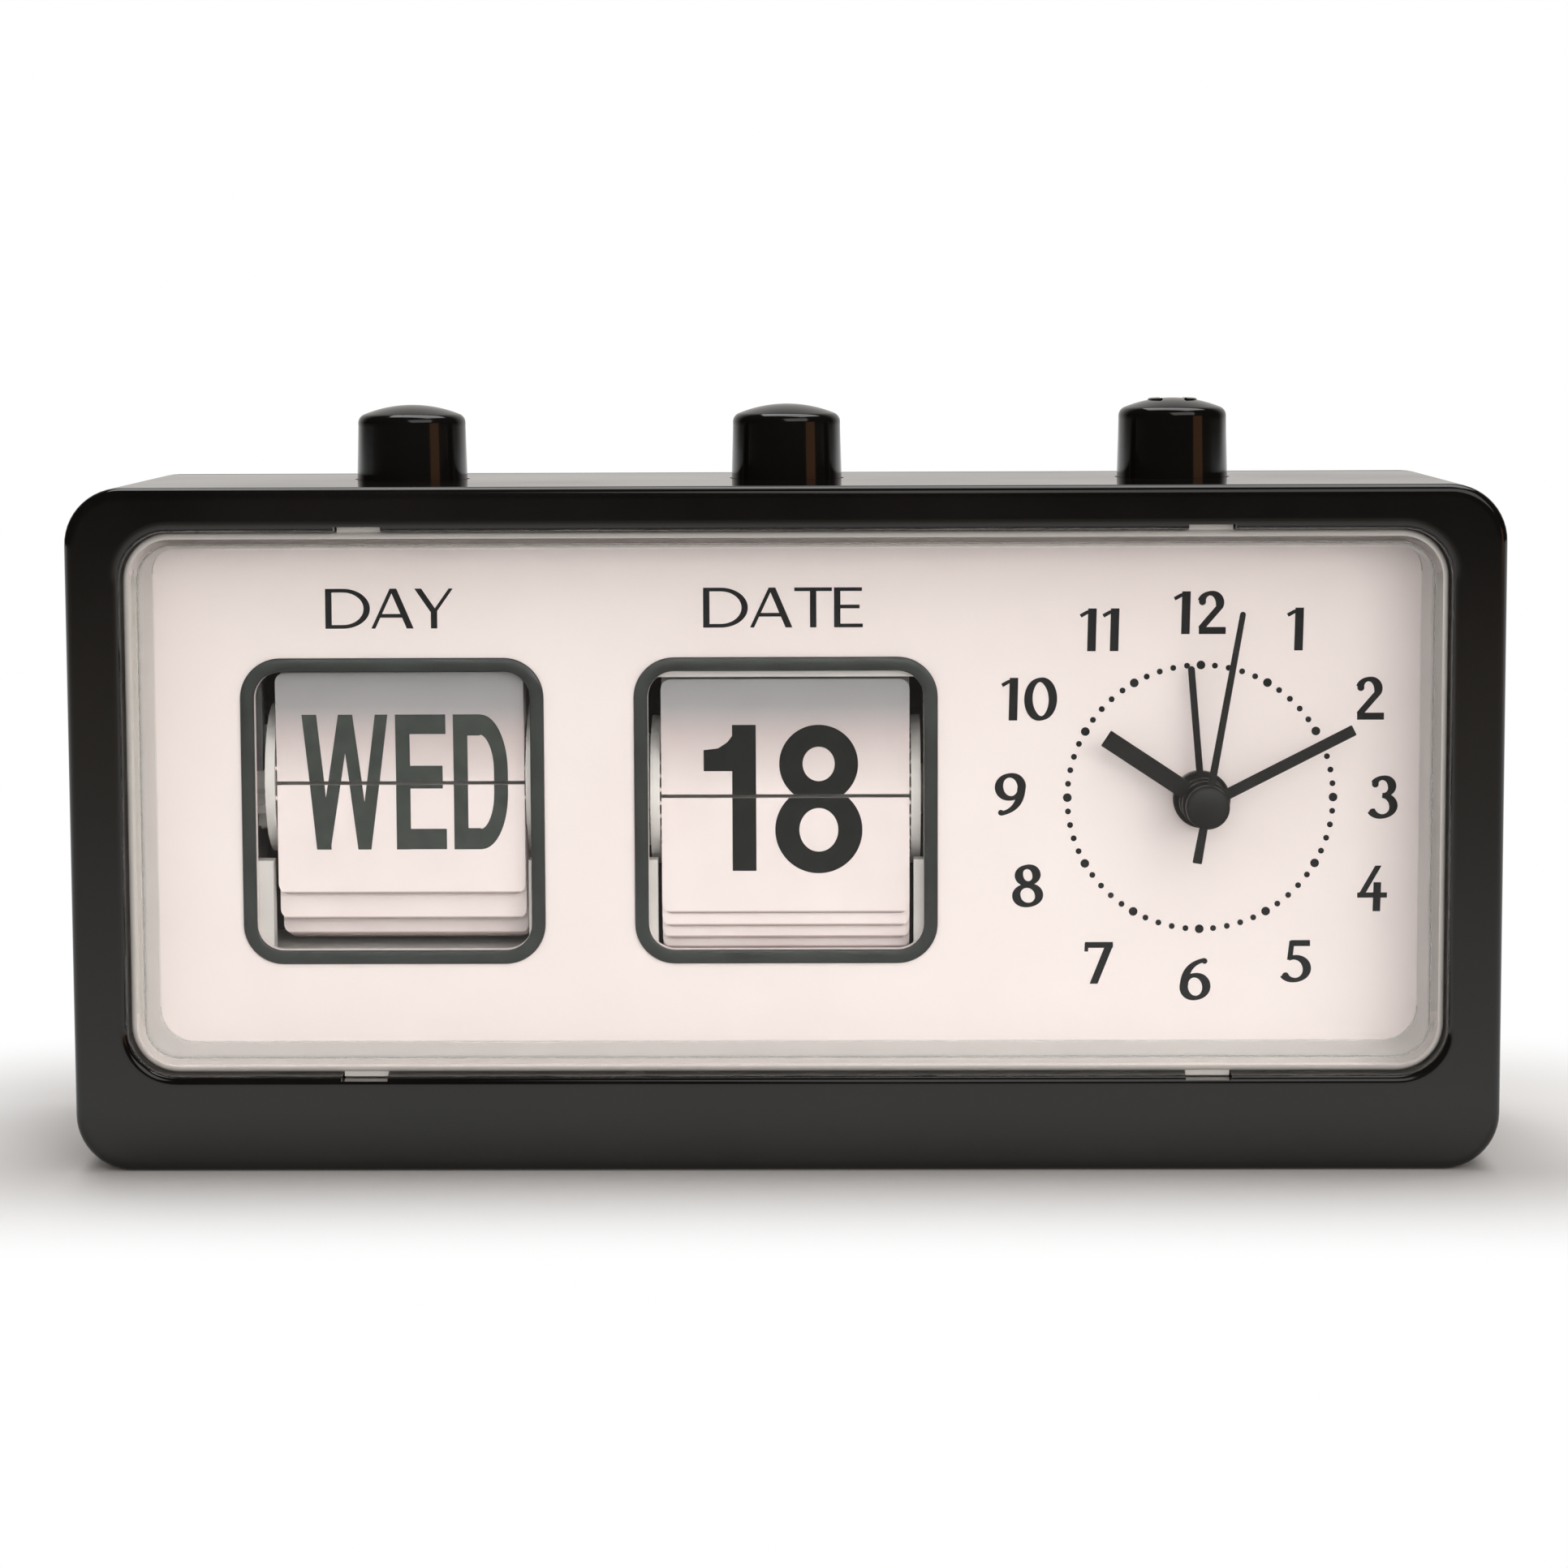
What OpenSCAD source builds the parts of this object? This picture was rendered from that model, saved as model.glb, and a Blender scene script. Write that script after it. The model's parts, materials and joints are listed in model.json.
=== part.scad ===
// Flip calendar clock: a black case with a clear window, a day drum and a date drum with flip leaves,
// and an analogue quartz alarm movement. Each of the three top buttons works one of them.
// Millimetres, +Z up, front towards -Y, origin under the middle of the whole clock.

/* [Case] */
// Wall thickness of the case
wall = 2.2; // [1.8:0.1:2.6]
// Radius of the four upright corners seen from the front
corner_r = 7; // [6:0.5:9]
// Rounding of the outer front edge
edge_r = 1; // [0.4:0.1:1.5]
// Frame width left and right of the display opening
side_border = 6.6; // [6:0.1:12]
// Frame width above the display opening
top_border = 5.4; // [5:0.1:9]
// Frame width below the display opening
chin = 11.8; // [8:0.1:16]
// Thickness of the rear cover
cover_t = 2.2; // [2:0.1:3]
// Radius of the case screw shanks
screw_r = 1.25; // [1:0.05:1.6]
// Radius of the case screw heads
screw_head_r = 2.6; // [2.2:0.1:3]
// Radius of the corner bosses that take the screws
boss_r = 4.5; // [3.8:0.1:4.6]

/* [Display opening] */
// Height of the display opening
opening_h = 66.8; // [65:0.2:76]
// Width of the opening beyond the movement on each side
opening_room = 1; // [0.5:0.1:4]
// Corner radius of the display opening
opening_r = 6; // [5:0.5:8]
// Rounding of the front edge of the opening
rim_r = 1; // [0.4:0.1:1.4]
// Wall thickness of the tunnel behind the opening
tunnel_t = 1.6; // [1.5:0.1:2.2]

/* [Window lens] */
// Depth of the lens face behind the case front
lens_recess = 2; // [1:0.1:3]
// Thickness of the lens face
lens_t = 2; // [1.4:0.1:3]
// Thickness of the lens side walls
lens_wall = 1.5; // [1:0.1:2]
// Gap between the lens and the tunnel
lens_gap = 0.15; // [0.1:0.05:0.3]
// Rounding of the lens front edge
lens_edge_r = 1.2; // [0.5:0.1:1.4]
// Width of a lens snap tab
tab_w = 5.4; // [3:0.1:8]
// Height of a lens snap tab
tab_h = 0.6; // [0.3:0.1:0.9]
// Distance of the snap tabs from the middle
tab_x = 51.8; // [30:0.1:65]

/* [Dial] */
// Clear depth between lens and dial, where leaves and hands turn
hand_room = 13.5; // [13:0.1:18]
// Thickness of the dial plate
dial_t = 1.4; // [1:0.1:2]
// Width of the day and date windows
window_w = 34.6; // [33:0.1:36]
// Height of the day and date windows
window_h = 35.2; // [35:0.1:38]
// Corner radius of the windows
window_r = 3.3; // [1:0.1:5]
// Middle of the windows below the middle of the opening
window_drop = 2.55; // [2.3:0.05:3.5]
// Shift of the day window against its drum
day_window_shift = -0.7; // [-1:0.1:0]
// Shift of the date window against its drum
date_window_shift = 0.1; // [-0.5:0.1:0.5]
// Clock axis below the middle of the opening
clock_drop = 1; // [0:0.1:2]
// Dial edge beyond the display opening
dial_margin = 2.4; // [1.8:0.1:2.6]

/* [Leaf drums] */
// Number of date leaves
date_leaves = 31; // [29:2:31]
// Corner radius of a leaf
leaf_corner = 1.3; // [0.5:0.1:2]
// Width of a leaf
leaf_w = 31.3; // [28:0.1:32]
// Thickness of a leaf
leaf_t = 0.2; // [0.15:0.01:0.22]
// Reach of a day leaf from the split line
day_reach = 14.1; // [12.5:0.1:14.2]
// Reach of a date leaf from the split line
date_reach = 14.9; // [13:0.1:15.2]
// Gap between the upper and the lower leaf
split_gap = 0.45; // [0.3:0.05:0.8]
// Radius of the circle of leaf pins
pivot_r = 8.5; // [8.2:0.1:9.5]
// Radius of a leaf pin
pin_r = 0.3; // [0.25:0.01:0.32]
// Running gap round a leaf pin
pin_gap = 0.04; // [0.02:0.01:0.06]
// Gap between a leaf and the drum discs
leaf_side_gap = 0.2; // [0.15:0.05:0.4]
// Thickness of the drum discs
disc_t = 1.2; // [1:0.1:1.5]
// Disc rim beyond the pin circle
disc_rim = 1; // [0.8:0.1:1.1]
// Forward lean of the upright leaf
flip_lean = 3.5; // [3:0.1:5]
// Extra backward lean of the day leaves behind the drum
day_lean = 8; // [4:0.5:9]
// Radius of the fixed steel axles
axle_r = 1.5; // [1.2:0.1:2]
// Running gap round axles and stems
run_gap = 0.06; // [0.03:0.01:0.1]
// Day drum axis above the middle of its window
day_rise = 3.3; // [2.8:0.1:3.4]
// Date drum axis above the middle of its window
date_rise = 1.55; // [1:0.05:2.4]
// Day ratchet radius
day_ratchet_r = 6.7; // [6:0.1:7]
// Date ratchet radius
date_ratchet_r = 7.2; // [7:0.1:7.4]
// Depth of the day ratchet teeth
day_tooth_h = 1.6; // [1.2:0.1:2]
// Depth of the date ratchet teeth
date_tooth_h = 1; // [0.9:0.05:1.1]
// Width of the ratchet wheels
ratchet_w = 2; // [1.6:0.1:2.6]
// Room between the dial and the leaf pins
leaf_room = 1.2; // [1.1:0.1:2]
// Room between the turning leaves and the rear cover
rear_room = 0.35; // [0.3:0.05:2]

/* [Drum cages] */
// Thickness of the cage plates
cage_t = 1.5; // [1.2:0.1:2]
// Side gap between drum and cage
cage_gap = 0.6; // [0.4:0.1:1]
// Width of the cage flanges behind the dial
flange_w = 2.7; // [2.4:0.1:3]
// Depth of the cage behind the drum axis
cage_back = 12; // [10:0.5:13]
// Place of the date drum, from the middle of the case
date_x = -0.2; // [-1:0.1:1]
// Gap between the two cages
cage_spacing = 2.9; // [2:0.1:5]
// Radius of the pegs that hold cages and movement on the dial
peg_r = 0.9; // [0.7:0.1:1.1]

/* [Buttons] */
// Radius of a button
button_r = 7; // [6:0.1:8]
// Height of the day and date buttons over the case
button_proud = 9.4; // [6:0.1:12]
// Height of the alarm button over the case
alarm_proud = 10; // [6:0.1:12]
// Height of the rounded button shoulder
button_shoulder = 2.8; // [1:0.1:4]
// Width of the rounded button shoulder
button_corner = 2.4; // [1:0.1:4]
// Gap between a button and its hole
button_gap = 0.25; // [0.15:0.05:0.5]
// Gap between the dial and the button rims
button_room = 0.3; // [0.2:0.1:1]
// Distance of the day button from the middle
day_button_x = 47.6; // [40:0.1:56]
// Distance of the alarm button from the middle
alarm_button_x = 48.9; // [40:0.1:60]
// Travel of the alarm button
alarm_travel = 1; // [0.5:0.1:1.2]
// Width of the button rim that stays under the top wall
button_rim = 1.4; // [1:0.1:2]
// Thickness of that rim
button_rim_t = 1.2; // [0.8:0.1:1.6]
// Radius of the button stems
stem_r = 2; // [1.5:0.1:2.4]
// Fitted length of the day and date button springs
spring_l = 7.5; // [6.5:0.1:8]
// Coil radius of the button springs
coil_r = 4.2; // [3.4:0.1:5]
// Wire radius of the button springs
wire_r = 0.35; // [0.25:0.05:0.45]

/* [Movement] */
// Width and height of the movement housing
movement_w = 56; // [55.6:0.1:60]
// Gap between the date cage and the movement
movement_gap = 2.2; // [1:0.1:4]
// Thickness of the movement plates
movement_t = 1.5; // [1.2:0.1:2]
// Thickness of the movement side walls
movement_wall = 1.2; // [1:0.1:1.6]
// Thickness of a gear wheel
wheel_t = 1.2; // [0.8:0.1:1.4]
// Gap between gear layers
layer_gap = 0.5; // [0.4:0.05:0.8]
// Thickness of the bridge plate
bridge_t = 1; // [0.8:0.1:1.4]
// Height of the rotor magnet
rotor_h = 2; // [1.6:0.1:3]
// Radius of the rotor magnet
rotor_r = 2.6; // [2:0.1:3]
// Radius of the gear arbors
arbor_r = 0.7; // [0.6:0.05:0.9]
// Radius of the arbor pivots
pivot_pin_r = 0.4; // [0.3:0.02:0.5]
// Running gap between the nested hand tubes and round pivots
tube_gap = 0.05; // [0.03:0.01:0.07]
// Radius of the second arbor
second_r = 0.5; // [0.4:0.05:0.55]
// Wall of the minute tube
minute_tube = 0.65; // [0.5:0.05:0.7]
// Wall of the hour tube
hour_tube = 0.75; // [0.5:0.05:0.8]
// Wall of the alarm tube
alarm_tube = 0.75; // [0.5:0.05:0.8]
// Wall of the movement bush
bush_wall = 0.5; // [0.4:0.05:0.7]
// Radius of the battery
battery_r = 7.1; // [6.9:0.05:7.15]
// Length of the battery
battery_l = 50.3; // [49:0.1:50.5]
// Room for the battery contacts at both ends
contact_room = 3.3; // [2.8:0.1:5]
// Gap between the battery and its bay
battery_room = 0.6; // [0.4:0.1:1]

/* [Hands] */
// Thickness of the hands
hand_t = 0.4; // [0.3:0.05:0.6]
// Length of the hour hand
hour_l = 14.6; // [10:0.1:18]
// Width of the hour hand
hour_w = 2.25; // [1:0.05:2.6]
// Length of the minute hand
minute_l = 20.4; // [16:0.1:23]
// Width of the minute hand
minute_w = 1.35; // [0.8:0.05:2]
// Length of the second hand
second_l = 24.4; // [20:0.1:25.5]
// Length of the second hand's tail
second_tail = 7.1; // [4:0.1:10]
// Width of the second hand
second_w = 0.95; // [0.5:0.05:1.2]
// Length of the alarm hand
alarm_l = 16.8; // [12:0.1:20]
// Width of the alarm hand
alarm_w = 0.85; // [0.5:0.05:1.2]
// Radius of the second hand cap
cap_r = 2.7; // [2:0.1:3.2]
// Depth step from one hand to the next
hand_step = 2.9; // [2.6:0.1:3]
// Angle of the hour hand, clockwise from twelve
hour_angle = 303.5; // [0:0.5:360]
// Angle of the minute hand, clockwise from twelve
minute_angle = 63; // [0:0.5:360]
// Angle of the second hand, clockwise from twelve
second_angle = 10; // [0:0.5:360]
// Angle of the alarm hand, clockwise from twelve
alarm_angle = 355; // [0:0.5:360]

/* [Rear] */
// Height of the setting knobs behind the rear cover
knob_proud = 5; // [3:0.1:8]
// Radius of the time setting knob
time_knob_r = 6; // [4:0.1:7]
// Radius of the alarm setting knob
alarm_knob_r = 5; // [4:0.1:6]
// Gap between a knob and the rear cover
knob_gap = 0.4; // [0.3:0.05:1]
// Width of the battery door
door_w = 54; // [51:0.1:56]
// Height of the battery door
door_h = 17; // [15:0.1:18]
// Gap round the battery door
door_gap = 0.2; // [0.1:0.05:0.4]

/* [Hidden] */
$fn = 64;
// Small overlap that fuses shapes of one piece
bond = 0.2;
// How far a cut runs past the face it opens
past = 1;
// Every weekday stands on two leaves
day_leaves = 14;

// Depths, counted from the front of the case
lens_d = lens_recess;
lens_in_d = lens_d + lens_t;
dial_d = lens_in_d + hand_room;
dial_back_d = dial_d + dial_t;
axis_d = dial_back_d + leaf_room + pivot_r;
function leaf_len(n, reach) = reach - pivot_r * sin(180 / n);
function leaf_tail(n) = pivot_r * sin(180 / n) - split_gap / 2;
function sweep_r(n, reach) = norm([pivot_r + leaf_len(n, reach) * cos(90 - 180 / n - flip_lean),
    leaf_len(n, reach) * sin(90 - 180 / n - flip_lean)]);
case_rear_d = axis_d + max(sweep_r(day_leaves, day_reach), sweep_r(date_leaves, date_reach)) + rear_room;
body_d = case_rear_d + cover_t;
front_y = -(body_d + knob_proud) / 2;
button_d = dial_back_d + button_room + button_r + button_rim;

// Widths: the date drum stands in the middle, the day drum and the movement beside it
drum_half = leaf_w / 2 + leaf_side_gap + disc_t;
cage_in_right = drum_half + cage_gap;
cage_in_left = drum_half + ratchet_w + cage_gap;
cage_right = cage_in_right + cage_t + flange_w;
cage_left = cage_in_left + cage_t + flange_w;
day_x = date_x - cage_left - cage_spacing - cage_right;
bay_w = battery_l + contact_room + 2 * movement_wall;
movement_half = max(movement_w, bay_w) / 2;
clock_x = date_x + cage_right + movement_gap + movement_half;
opening_w = 2 * (clock_x + movement_half + opening_room);
body_w = opening_w + 2 * side_border;
day_window_x = day_x + day_window_shift;
date_window_x = date_x + date_window_shift;

// Heights
body_h = chin + opening_h + top_border;
opening_z = chin + opening_h / 2;
window_z = opening_z - window_drop;
clock_z = opening_z - clock_drop;
day_z = window_z + day_rise;
date_z = window_z + date_rise;
top_in = body_h - wall;
rim_gap = 0.1;
rim_top_z = top_in - rim_gap;
rim_low_z = rim_top_z - button_rim_t;
shelf_z = rim_low_z - spring_l;
yoke_gap = 1;
yoke_top_z = shelf_z - cage_t - yoke_gap;
yoke_h = 2.5;
movement_top_z = clock_z + movement_w / 2;

// Screws, bosses and posts
boss_x = body_w / 2 - wall + bond - boss_r;
boss_low_z = wall - bond + boss_r;
boss_high_z = top_in + bond - boss_r;
boss_gap = 1;
boss_d = dial_back_d + boss_gap;
screw_l = 12;
screw_end = 1;
screw_gap = 0.25;
screw_head_t = 1.2;
screw_head_gap = 0.2;
cross_l = 3.2;
cross_w = 0.6;
cross_depth = 0.6;
post_r = 1.4;
post_x = opening_w / 2 + dial_margin / 2;
side_post_z = 20;
// Height of the pegs and posts that grip a cage, over and under its axis
cage_grip = 15;

// Movement layers
movement_in_d = dial_back_d + movement_t;
function layer(k) = movement_in_d + layer_gap + k * (wheel_t + layer_gap)
    + (k > 2 ? bridge_t + layer_gap : 0);
bridge_d = layer(2) + wheel_t + layer_gap;
rotor_end_gap = 0.7;
movement_rear_d = layer(7) + rotor_h + rotor_end_gap;
movement_back_d = movement_rear_d + movement_t;
// Battery bay under the wheels
bay_z = -11.3;
bay_wall = 1;
bay_gap = 0.7;
battery_z = bay_z - bay_gap - battery_r;
bay_low_z = battery_z - battery_r - battery_room - movement_wall;
bay_end = movement_half - movement_wall;
housing_low_z = min(-movement_w / 2, bay_low_z);
battery_lift = 1;
battery_d = movement_in_d + battery_r + battery_lift;
pillar_r = 1.6;
pillar_x = movement_half - 3.75 * pillar_r;
pillar_high_z = 15;
pillar_low_z = -7;
bridge_edge = 3;
movement_peg_x = movement_half - 4.5 * peg_r;
movement_peg_z = movement_w / 2 - 7.8 * peg_r;
movement_post_x = movement_half - 3 * post_r;
movement_post_z = movement_w / 2 - 3 * post_r;

// Hand tubes, from the inside out
minute_in = second_r + tube_gap;
minute_out = minute_in + minute_tube;
hour_in = minute_out + tube_gap;
hour_out = hour_in + hour_tube;
alarm_in = hour_out + tube_gap;
alarm_out = alarm_in + alarm_tube;
bush_in = alarm_out + tube_gap;
bush_out = bush_in + bush_wall;
hub_t = 1.6;
hub_gap = 0.5;
cap_gap = 1.2;
cap_h = 1.2;
hand_seat = 0.4;
cap_d = lens_in_d + cap_gap;
second_d = cap_d + cap_h;
minute_d = second_d + hand_step - (hub_t - hand_t) + hub_gap;
hour_d = minute_d + hand_step;
alarm_d = hour_d + hand_step;

// Gear train: teeth, module and centre distance, and the places of the arbors round the clock axis
third_m = 0.255;
centre_m = 0.27;
third_a = 9.18;
third_at = [0, third_a];
motion_m = 0.45;
hour_m = 0.432;
minute_a = 10.8;
minute_at = [-minute_a, 0];
alarm_m = 0.44;
alarm_a = 11;
alarm_dir = -15;
alarm_at = alarm_a * [cos(alarm_dir), sin(alarm_dir)];
inter_m = 0.385;
inter_a = 9.24;
inter_dir = 30;
inter_at = inter_a * [cos(inter_dir), sin(inter_dir)];
rotor_m = 0.25;
rotor_a = 7;
rotor_dir = 30;
rotor_at = inter_at + rotor_a * [cos(rotor_dir), sin(rotor_dir)];
pillars = [for (x = [-pillar_x, pillar_x], z = [pillar_low_z, pillar_high_z]) [x, z]];

module in_case() translate([0, front_y, 0]) children();
module at_clock() in_case() translate([clock_x, 0, clock_z]) children();
module at_day() in_case() translate([day_x, axis_d, day_z]) children();
module at_date() in_case() translate([date_x, axis_d, date_z]) children();

// A flat shape drawn in width and height, extruded from one depth to another
module plate(d0, d1) translate([0, d1, 0]) rotate([90, 0, 0]) linear_extrude(d1 - d0) children();
module bar(x, d, z) translate([x[0], d[0], z[0]]) cube([x[1] - x[0], d[1] - d[0], z[1] - z[0]]);
module peg(at, d0, d1, r) translate([at[0], d0, at[1]]) rotate([-90, 0, 0]) cylinder(r = r, h = d1 - d0);
module across(x0, x1, r) translate([x0, 0, 0]) rotate([0, 90, 0]) cylinder(r = r, h = x1 - x0);
module rounded(w, h, r) {
    square([w - 2 * r, h], center = true);
    square([w, h - 2 * r], center = true);
    for (x = [-1, 1], y = [-1, 1]) translate([x * (w / 2 - r), y * (h / 2 - r)]) circle(r);
}
// Carries a profile, drawn as distance from the corner centres and depth, round a rounded rectangle
module round_frame(w, h, r) {
    for (k = [0:3]) {
        run = (k % 2 == 0 ? h : w) / 2 - r;
        off = (k % 2 == 0 ? w : h) / 2 - r;
        rotate([0, 90 * k, 0]) translate([off, 0, -run]) {
            linear_extrude(2 * run) children();
            rotate([-90, 0, 0]) rotate_extrude(angle = 90) children();
        }
    }
}
// Wall section whose outer front edge is rounded
module outer_wall_section(r, t, edge, d0, d1) {
    translate([r - t, d0 + edge]) square([t, d1 - d0 - edge]);
    translate([r - t, d0]) square([t - edge, edge]);
    translate([r - edge, d0 + edge]) circle(edge);
}
// Wall section whose inner front edge is rounded
module inner_wall_section(r, t, edge, d1) {
    translate([r, edge]) square([t, d1 - edge]);
    translate([r + edge, 0]) square([t - edge, edge]);
    translate([r + edge, edge]) circle(edge);
}
module corners() for (x = [-1, 1], z = [boss_low_z, boss_high_z]) translate([x * boss_x, 0, z]) children();
module tab_places() for (x = [-1, 1]) translate([x * tab_x, 0, 0]) children();

module front_case() color("#161514") in_case() difference() {
    union() {
        translate([0, 0, body_h / 2]) round_frame(body_w, body_h, corner_r)
            outer_wall_section(corner_r, wall, edge_r, 0, case_rear_d);
        translate([0, 0, opening_z]) round_frame(opening_w, opening_h, opening_r)
            inner_wall_section(opening_r, tunnel_t, rim_r, dial_d);
        plate(0, wall) difference() {
            translate([0, body_h / 2])
                rounded(body_w - 2 * wall + bond, body_h - 2 * wall + bond, corner_r - wall + bond / 2);
            translate([0, opening_z]) rounded(opening_w + 2 * tunnel_t - bond,
                opening_h + 2 * tunnel_t - bond, opening_r + tunnel_t - bond / 2);
        }
        corners() peg([0, 0], boss_d, case_rear_d, boss_r);
    }
    corners() peg([0, 0], case_rear_d - screw_l, case_rear_d + past, screw_r + tube_gap);
    for (x = [-day_button_x, 0, alarm_button_x]) translate([x, button_d, top_in - past])
        cylinder(r = button_r + button_gap, h = wall + 2 * past);
    for (s = [-1, 1]) tab_places() translate([0, 0, opening_z + s * opening_h / 2])
        bar([-tab_w / 2 - lens_gap, tab_w / 2 + lens_gap],
            [lens_in_d - tab_front - tab_gap, lens_in_d + tab_back + tab_gap],
            s > 0 ? [-past, tab_h] : [-tab_h, past]);
}

// Posts that press the cages against the dial
module posts_on_cages() for (c = [[day_x, day_z], [date_x, date_z]], z = [-cage_grip, cage_grip])
    for (x = [-cage_in_left - cage_t / 2, cage_in_right + cage_t / 2])
        peg([c[0] + x, c[1] + z], axis_d + cage_back, case_rear_d + bond, post_r);
door_z = clock_z + battery_z;
lip_t = 1;
lip_l = 120;
lip_d = 2.5;
ledge_w = 1.6;
ledge_t = 1.2;
hook_w = 6;
hook_l = 4;
hook_t = 1;
knob_hole_gap = 0.6;

module rear_cover() color("#1a1918") in_case() difference() {
    union() {
        plate(case_rear_d, body_d) translate([0, body_h / 2]) rounded(body_w, body_h, corner_r);
        for (x = [-1, 1], z = [-side_post_z, side_post_z])
            peg([x * post_x, opening_z + z], dial_back_d, case_rear_d + bond, post_r);
        for (x = [-1, 1], z = [movement_post_z, bay_z + 2 * post_r])
            peg([clock_x + x * movement_post_x, clock_z + z], movement_back_d, case_rear_d + bond, post_r);
        posts_on_cages();
        for (z = [wall + lens_gap, top_in - lens_gap - lip_t])
            bar([-lip_l / 2, lip_l / 2], [case_rear_d - lip_d, case_rear_d + bond], [z, z + lip_t]);
        for (s = [-1, 1]) translate([clock_x + s * door_w / 2, 0, 0])
            bar([-ledge_w, ledge_w], [case_rear_d - ledge_t, case_rear_d + bond],
                [door_z - door_h / 2, door_z + door_h / 2]);
    }
    plate(case_rear_d, body_d + past) translate([clock_x, door_z])
        square([door_w + 2 * door_gap, door_h + 2 * door_gap], center = true);
    corners() {
        peg([0, 0], case_rear_d - past, body_d + past, screw_r + screw_gap);
        peg([0, 0], body_d - screw_head_t, body_d + past, screw_head_r + screw_head_gap);
    }
    for (at = [minute_at, alarm_at]) peg([clock_x, clock_z] + at, case_rear_d - past, body_d + past,
        arbor_r + knob_hole_gap);
}

module battery_door() color("#1d1c1b") in_case() {
    plate(case_rear_d, body_d) translate([clock_x, door_z]) square([door_w, door_h], center = true);
    for (s = [-1, 1]) translate([clock_x + s * door_w / 4, 0, door_z - door_h / 2])
        bar([-hook_w / 2, hook_w / 2], [case_rear_d - hook_l, case_rear_d + bond], [0, hook_t]);
}

module case_screws() color("silver") in_case() corners() {
    peg([0, 0], case_rear_d - screw_l + screw_end, body_d - screw_head_t + bond, screw_r);
    difference() {
        peg([0, 0], body_d - screw_head_t, body_d, screw_head_r);
        for (turn = [0, 90]) rotate([0, turn, 0]) bar([-cross_l / 2, cross_l / 2],
            [body_d - cross_depth, body_d + past], [-cross_w / 2, cross_w / 2]);
    }
}

lens_w = opening_w - 2 * lens_gap;
lens_h = opening_h - 2 * lens_gap;
lens_r = opening_r - lens_gap;
tab_front = 1;
tab_back = 0.8;
tab_gap = 0.3;
module window_lens() color("#e8eef0", 0.35) in_case() {
    translate([0, 0, opening_z]) round_frame(lens_w, lens_h, lens_r)
        outer_wall_section(lens_r, lens_wall, lens_edge_r, lens_d, dial_d);
    plate(lens_d, lens_in_d) translate([0, opening_z])
        rounded(lens_w - 2 * lens_wall + bond, lens_h - 2 * lens_wall + bond, lens_r - lens_wall + bond / 2);
    for (s = [-1, 1]) tab_places() translate([0, 0, opening_z + s * lens_h / 2])
        bar([-tab_w / 2, tab_w / 2], [lens_in_d - tab_front, lens_in_d + tab_back],
            s > 0 ? [-bond, tab_h] : [-tab_h, bond]);
}

// Pegs on the back of the dial: four for each cage and two for the movement
module dial_pegs(r, d1) {
    for (c = [[day_x, day_z], [date_x, date_z]], z = [-cage_grip, cage_grip])
        for (x = [-cage_left + flange_w / 2, cage_right - flange_w / 2])
            peg([c[0] + x, c[1] + z], dial_back_d - bond, d1, r);
    for (x = [-1, 1]) peg([clock_x + x * movement_peg_x, clock_z + movement_peg_z], dial_back_d - bond, d1, r);
}
bush_gap = 0.1;
module dial_plate() color("#f0e4e4") in_case() {
    difference() {
        plate(dial_d, dial_back_d) difference() {
            translate([0, opening_z])
                rounded(opening_w + 2 * dial_margin, opening_h + 2 * dial_margin, opening_r + dial_margin);
            for (x = [day_window_x, date_window_x])
                translate([x, window_z]) rounded(window_w, window_h, window_r);
        }
        peg([clock_x, clock_z], dial_d - past, dial_back_d + past, bush_out + bush_gap);
    }
    dial_pegs(peg_r, dial_back_d + movement_t);
}

// Rounded cap, from its rim under the top wall over the shoulder to the middle of its top
function shoulder(top) = [for (a = [0:10:90]) [button_r - button_corner + button_corner * cos(a),
    body_h + top - button_shoulder + button_shoulder * sin(a)]];
module button_shape(top, stem_low_z) {
    rotate_extrude() polygon(concat([[0, rim_low_z], [button_r + button_rim, rim_low_z],
        [button_r + button_rim, rim_top_z], [button_r, rim_top_z]], shoulder(top), [[0, body_h + top]]));
    translate([0, 0, stem_low_z]) cylinder(r = stem_r, h = rim_low_z - stem_low_z + bond);
}
module day_button() color("#1b1918") in_case() translate([-day_button_x, button_d, 0])
    button_shape(button_proud, yoke_top_z);
module date_button() color("#1b1918") in_case() translate([0, button_d, 0])
    button_shape(button_proud, yoke_top_z);
stem_reach = 4;
module alarm_button() color("#1b1918") in_case() translate([alarm_button_x, button_d, 0])
    button_shape(alarm_proud, movement_top_z - stem_reach);

// Helical spring: one tube of square rings swept along a rising coil
spring_turns = 5;
spring_rings = 16;
spring_sides = 6;
spring_seat = 0.05;
function coil_at(a, low, high) = [coil_r * cos(a), coil_r * sin(a),
    low + (high - low) * a / (360 * spring_turns)];
module spring(low, high) {
    base = low + wire_r + spring_seat;
    top = high - wire_r - spring_seat;
    rings = spring_turns * spring_rings;
    points = [for (k = [0:rings]) let (a = 360 * k / spring_rings, c = coil_at(a, base, top))
        for (s = [0:spring_sides - 1]) let (b = 360 * s / spring_sides)
            c + wire_r * [cos(b) * cos(a), cos(b) * sin(a), sin(b)]];
    sides = [for (k = [0:rings - 1], s = [0:spring_sides - 1])
        let (p = k * spring_sides + s, q = k * spring_sides + (s + 1) % spring_sides)
            each [[p, q, q + spring_sides], [p, q + spring_sides, p + spring_sides]]];
    last = rings * spring_sides;
    ends = [for (s = [1:spring_sides - 2]) each [[0, s + 1, s], [last, last + s, last + s + 1]]];
    polyhedron(points, concat(sides, ends));
}
module day_button_spring() color("silver") in_case() translate([-day_button_x, button_d, 0])
    spring(shelf_z, rim_low_z);
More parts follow.
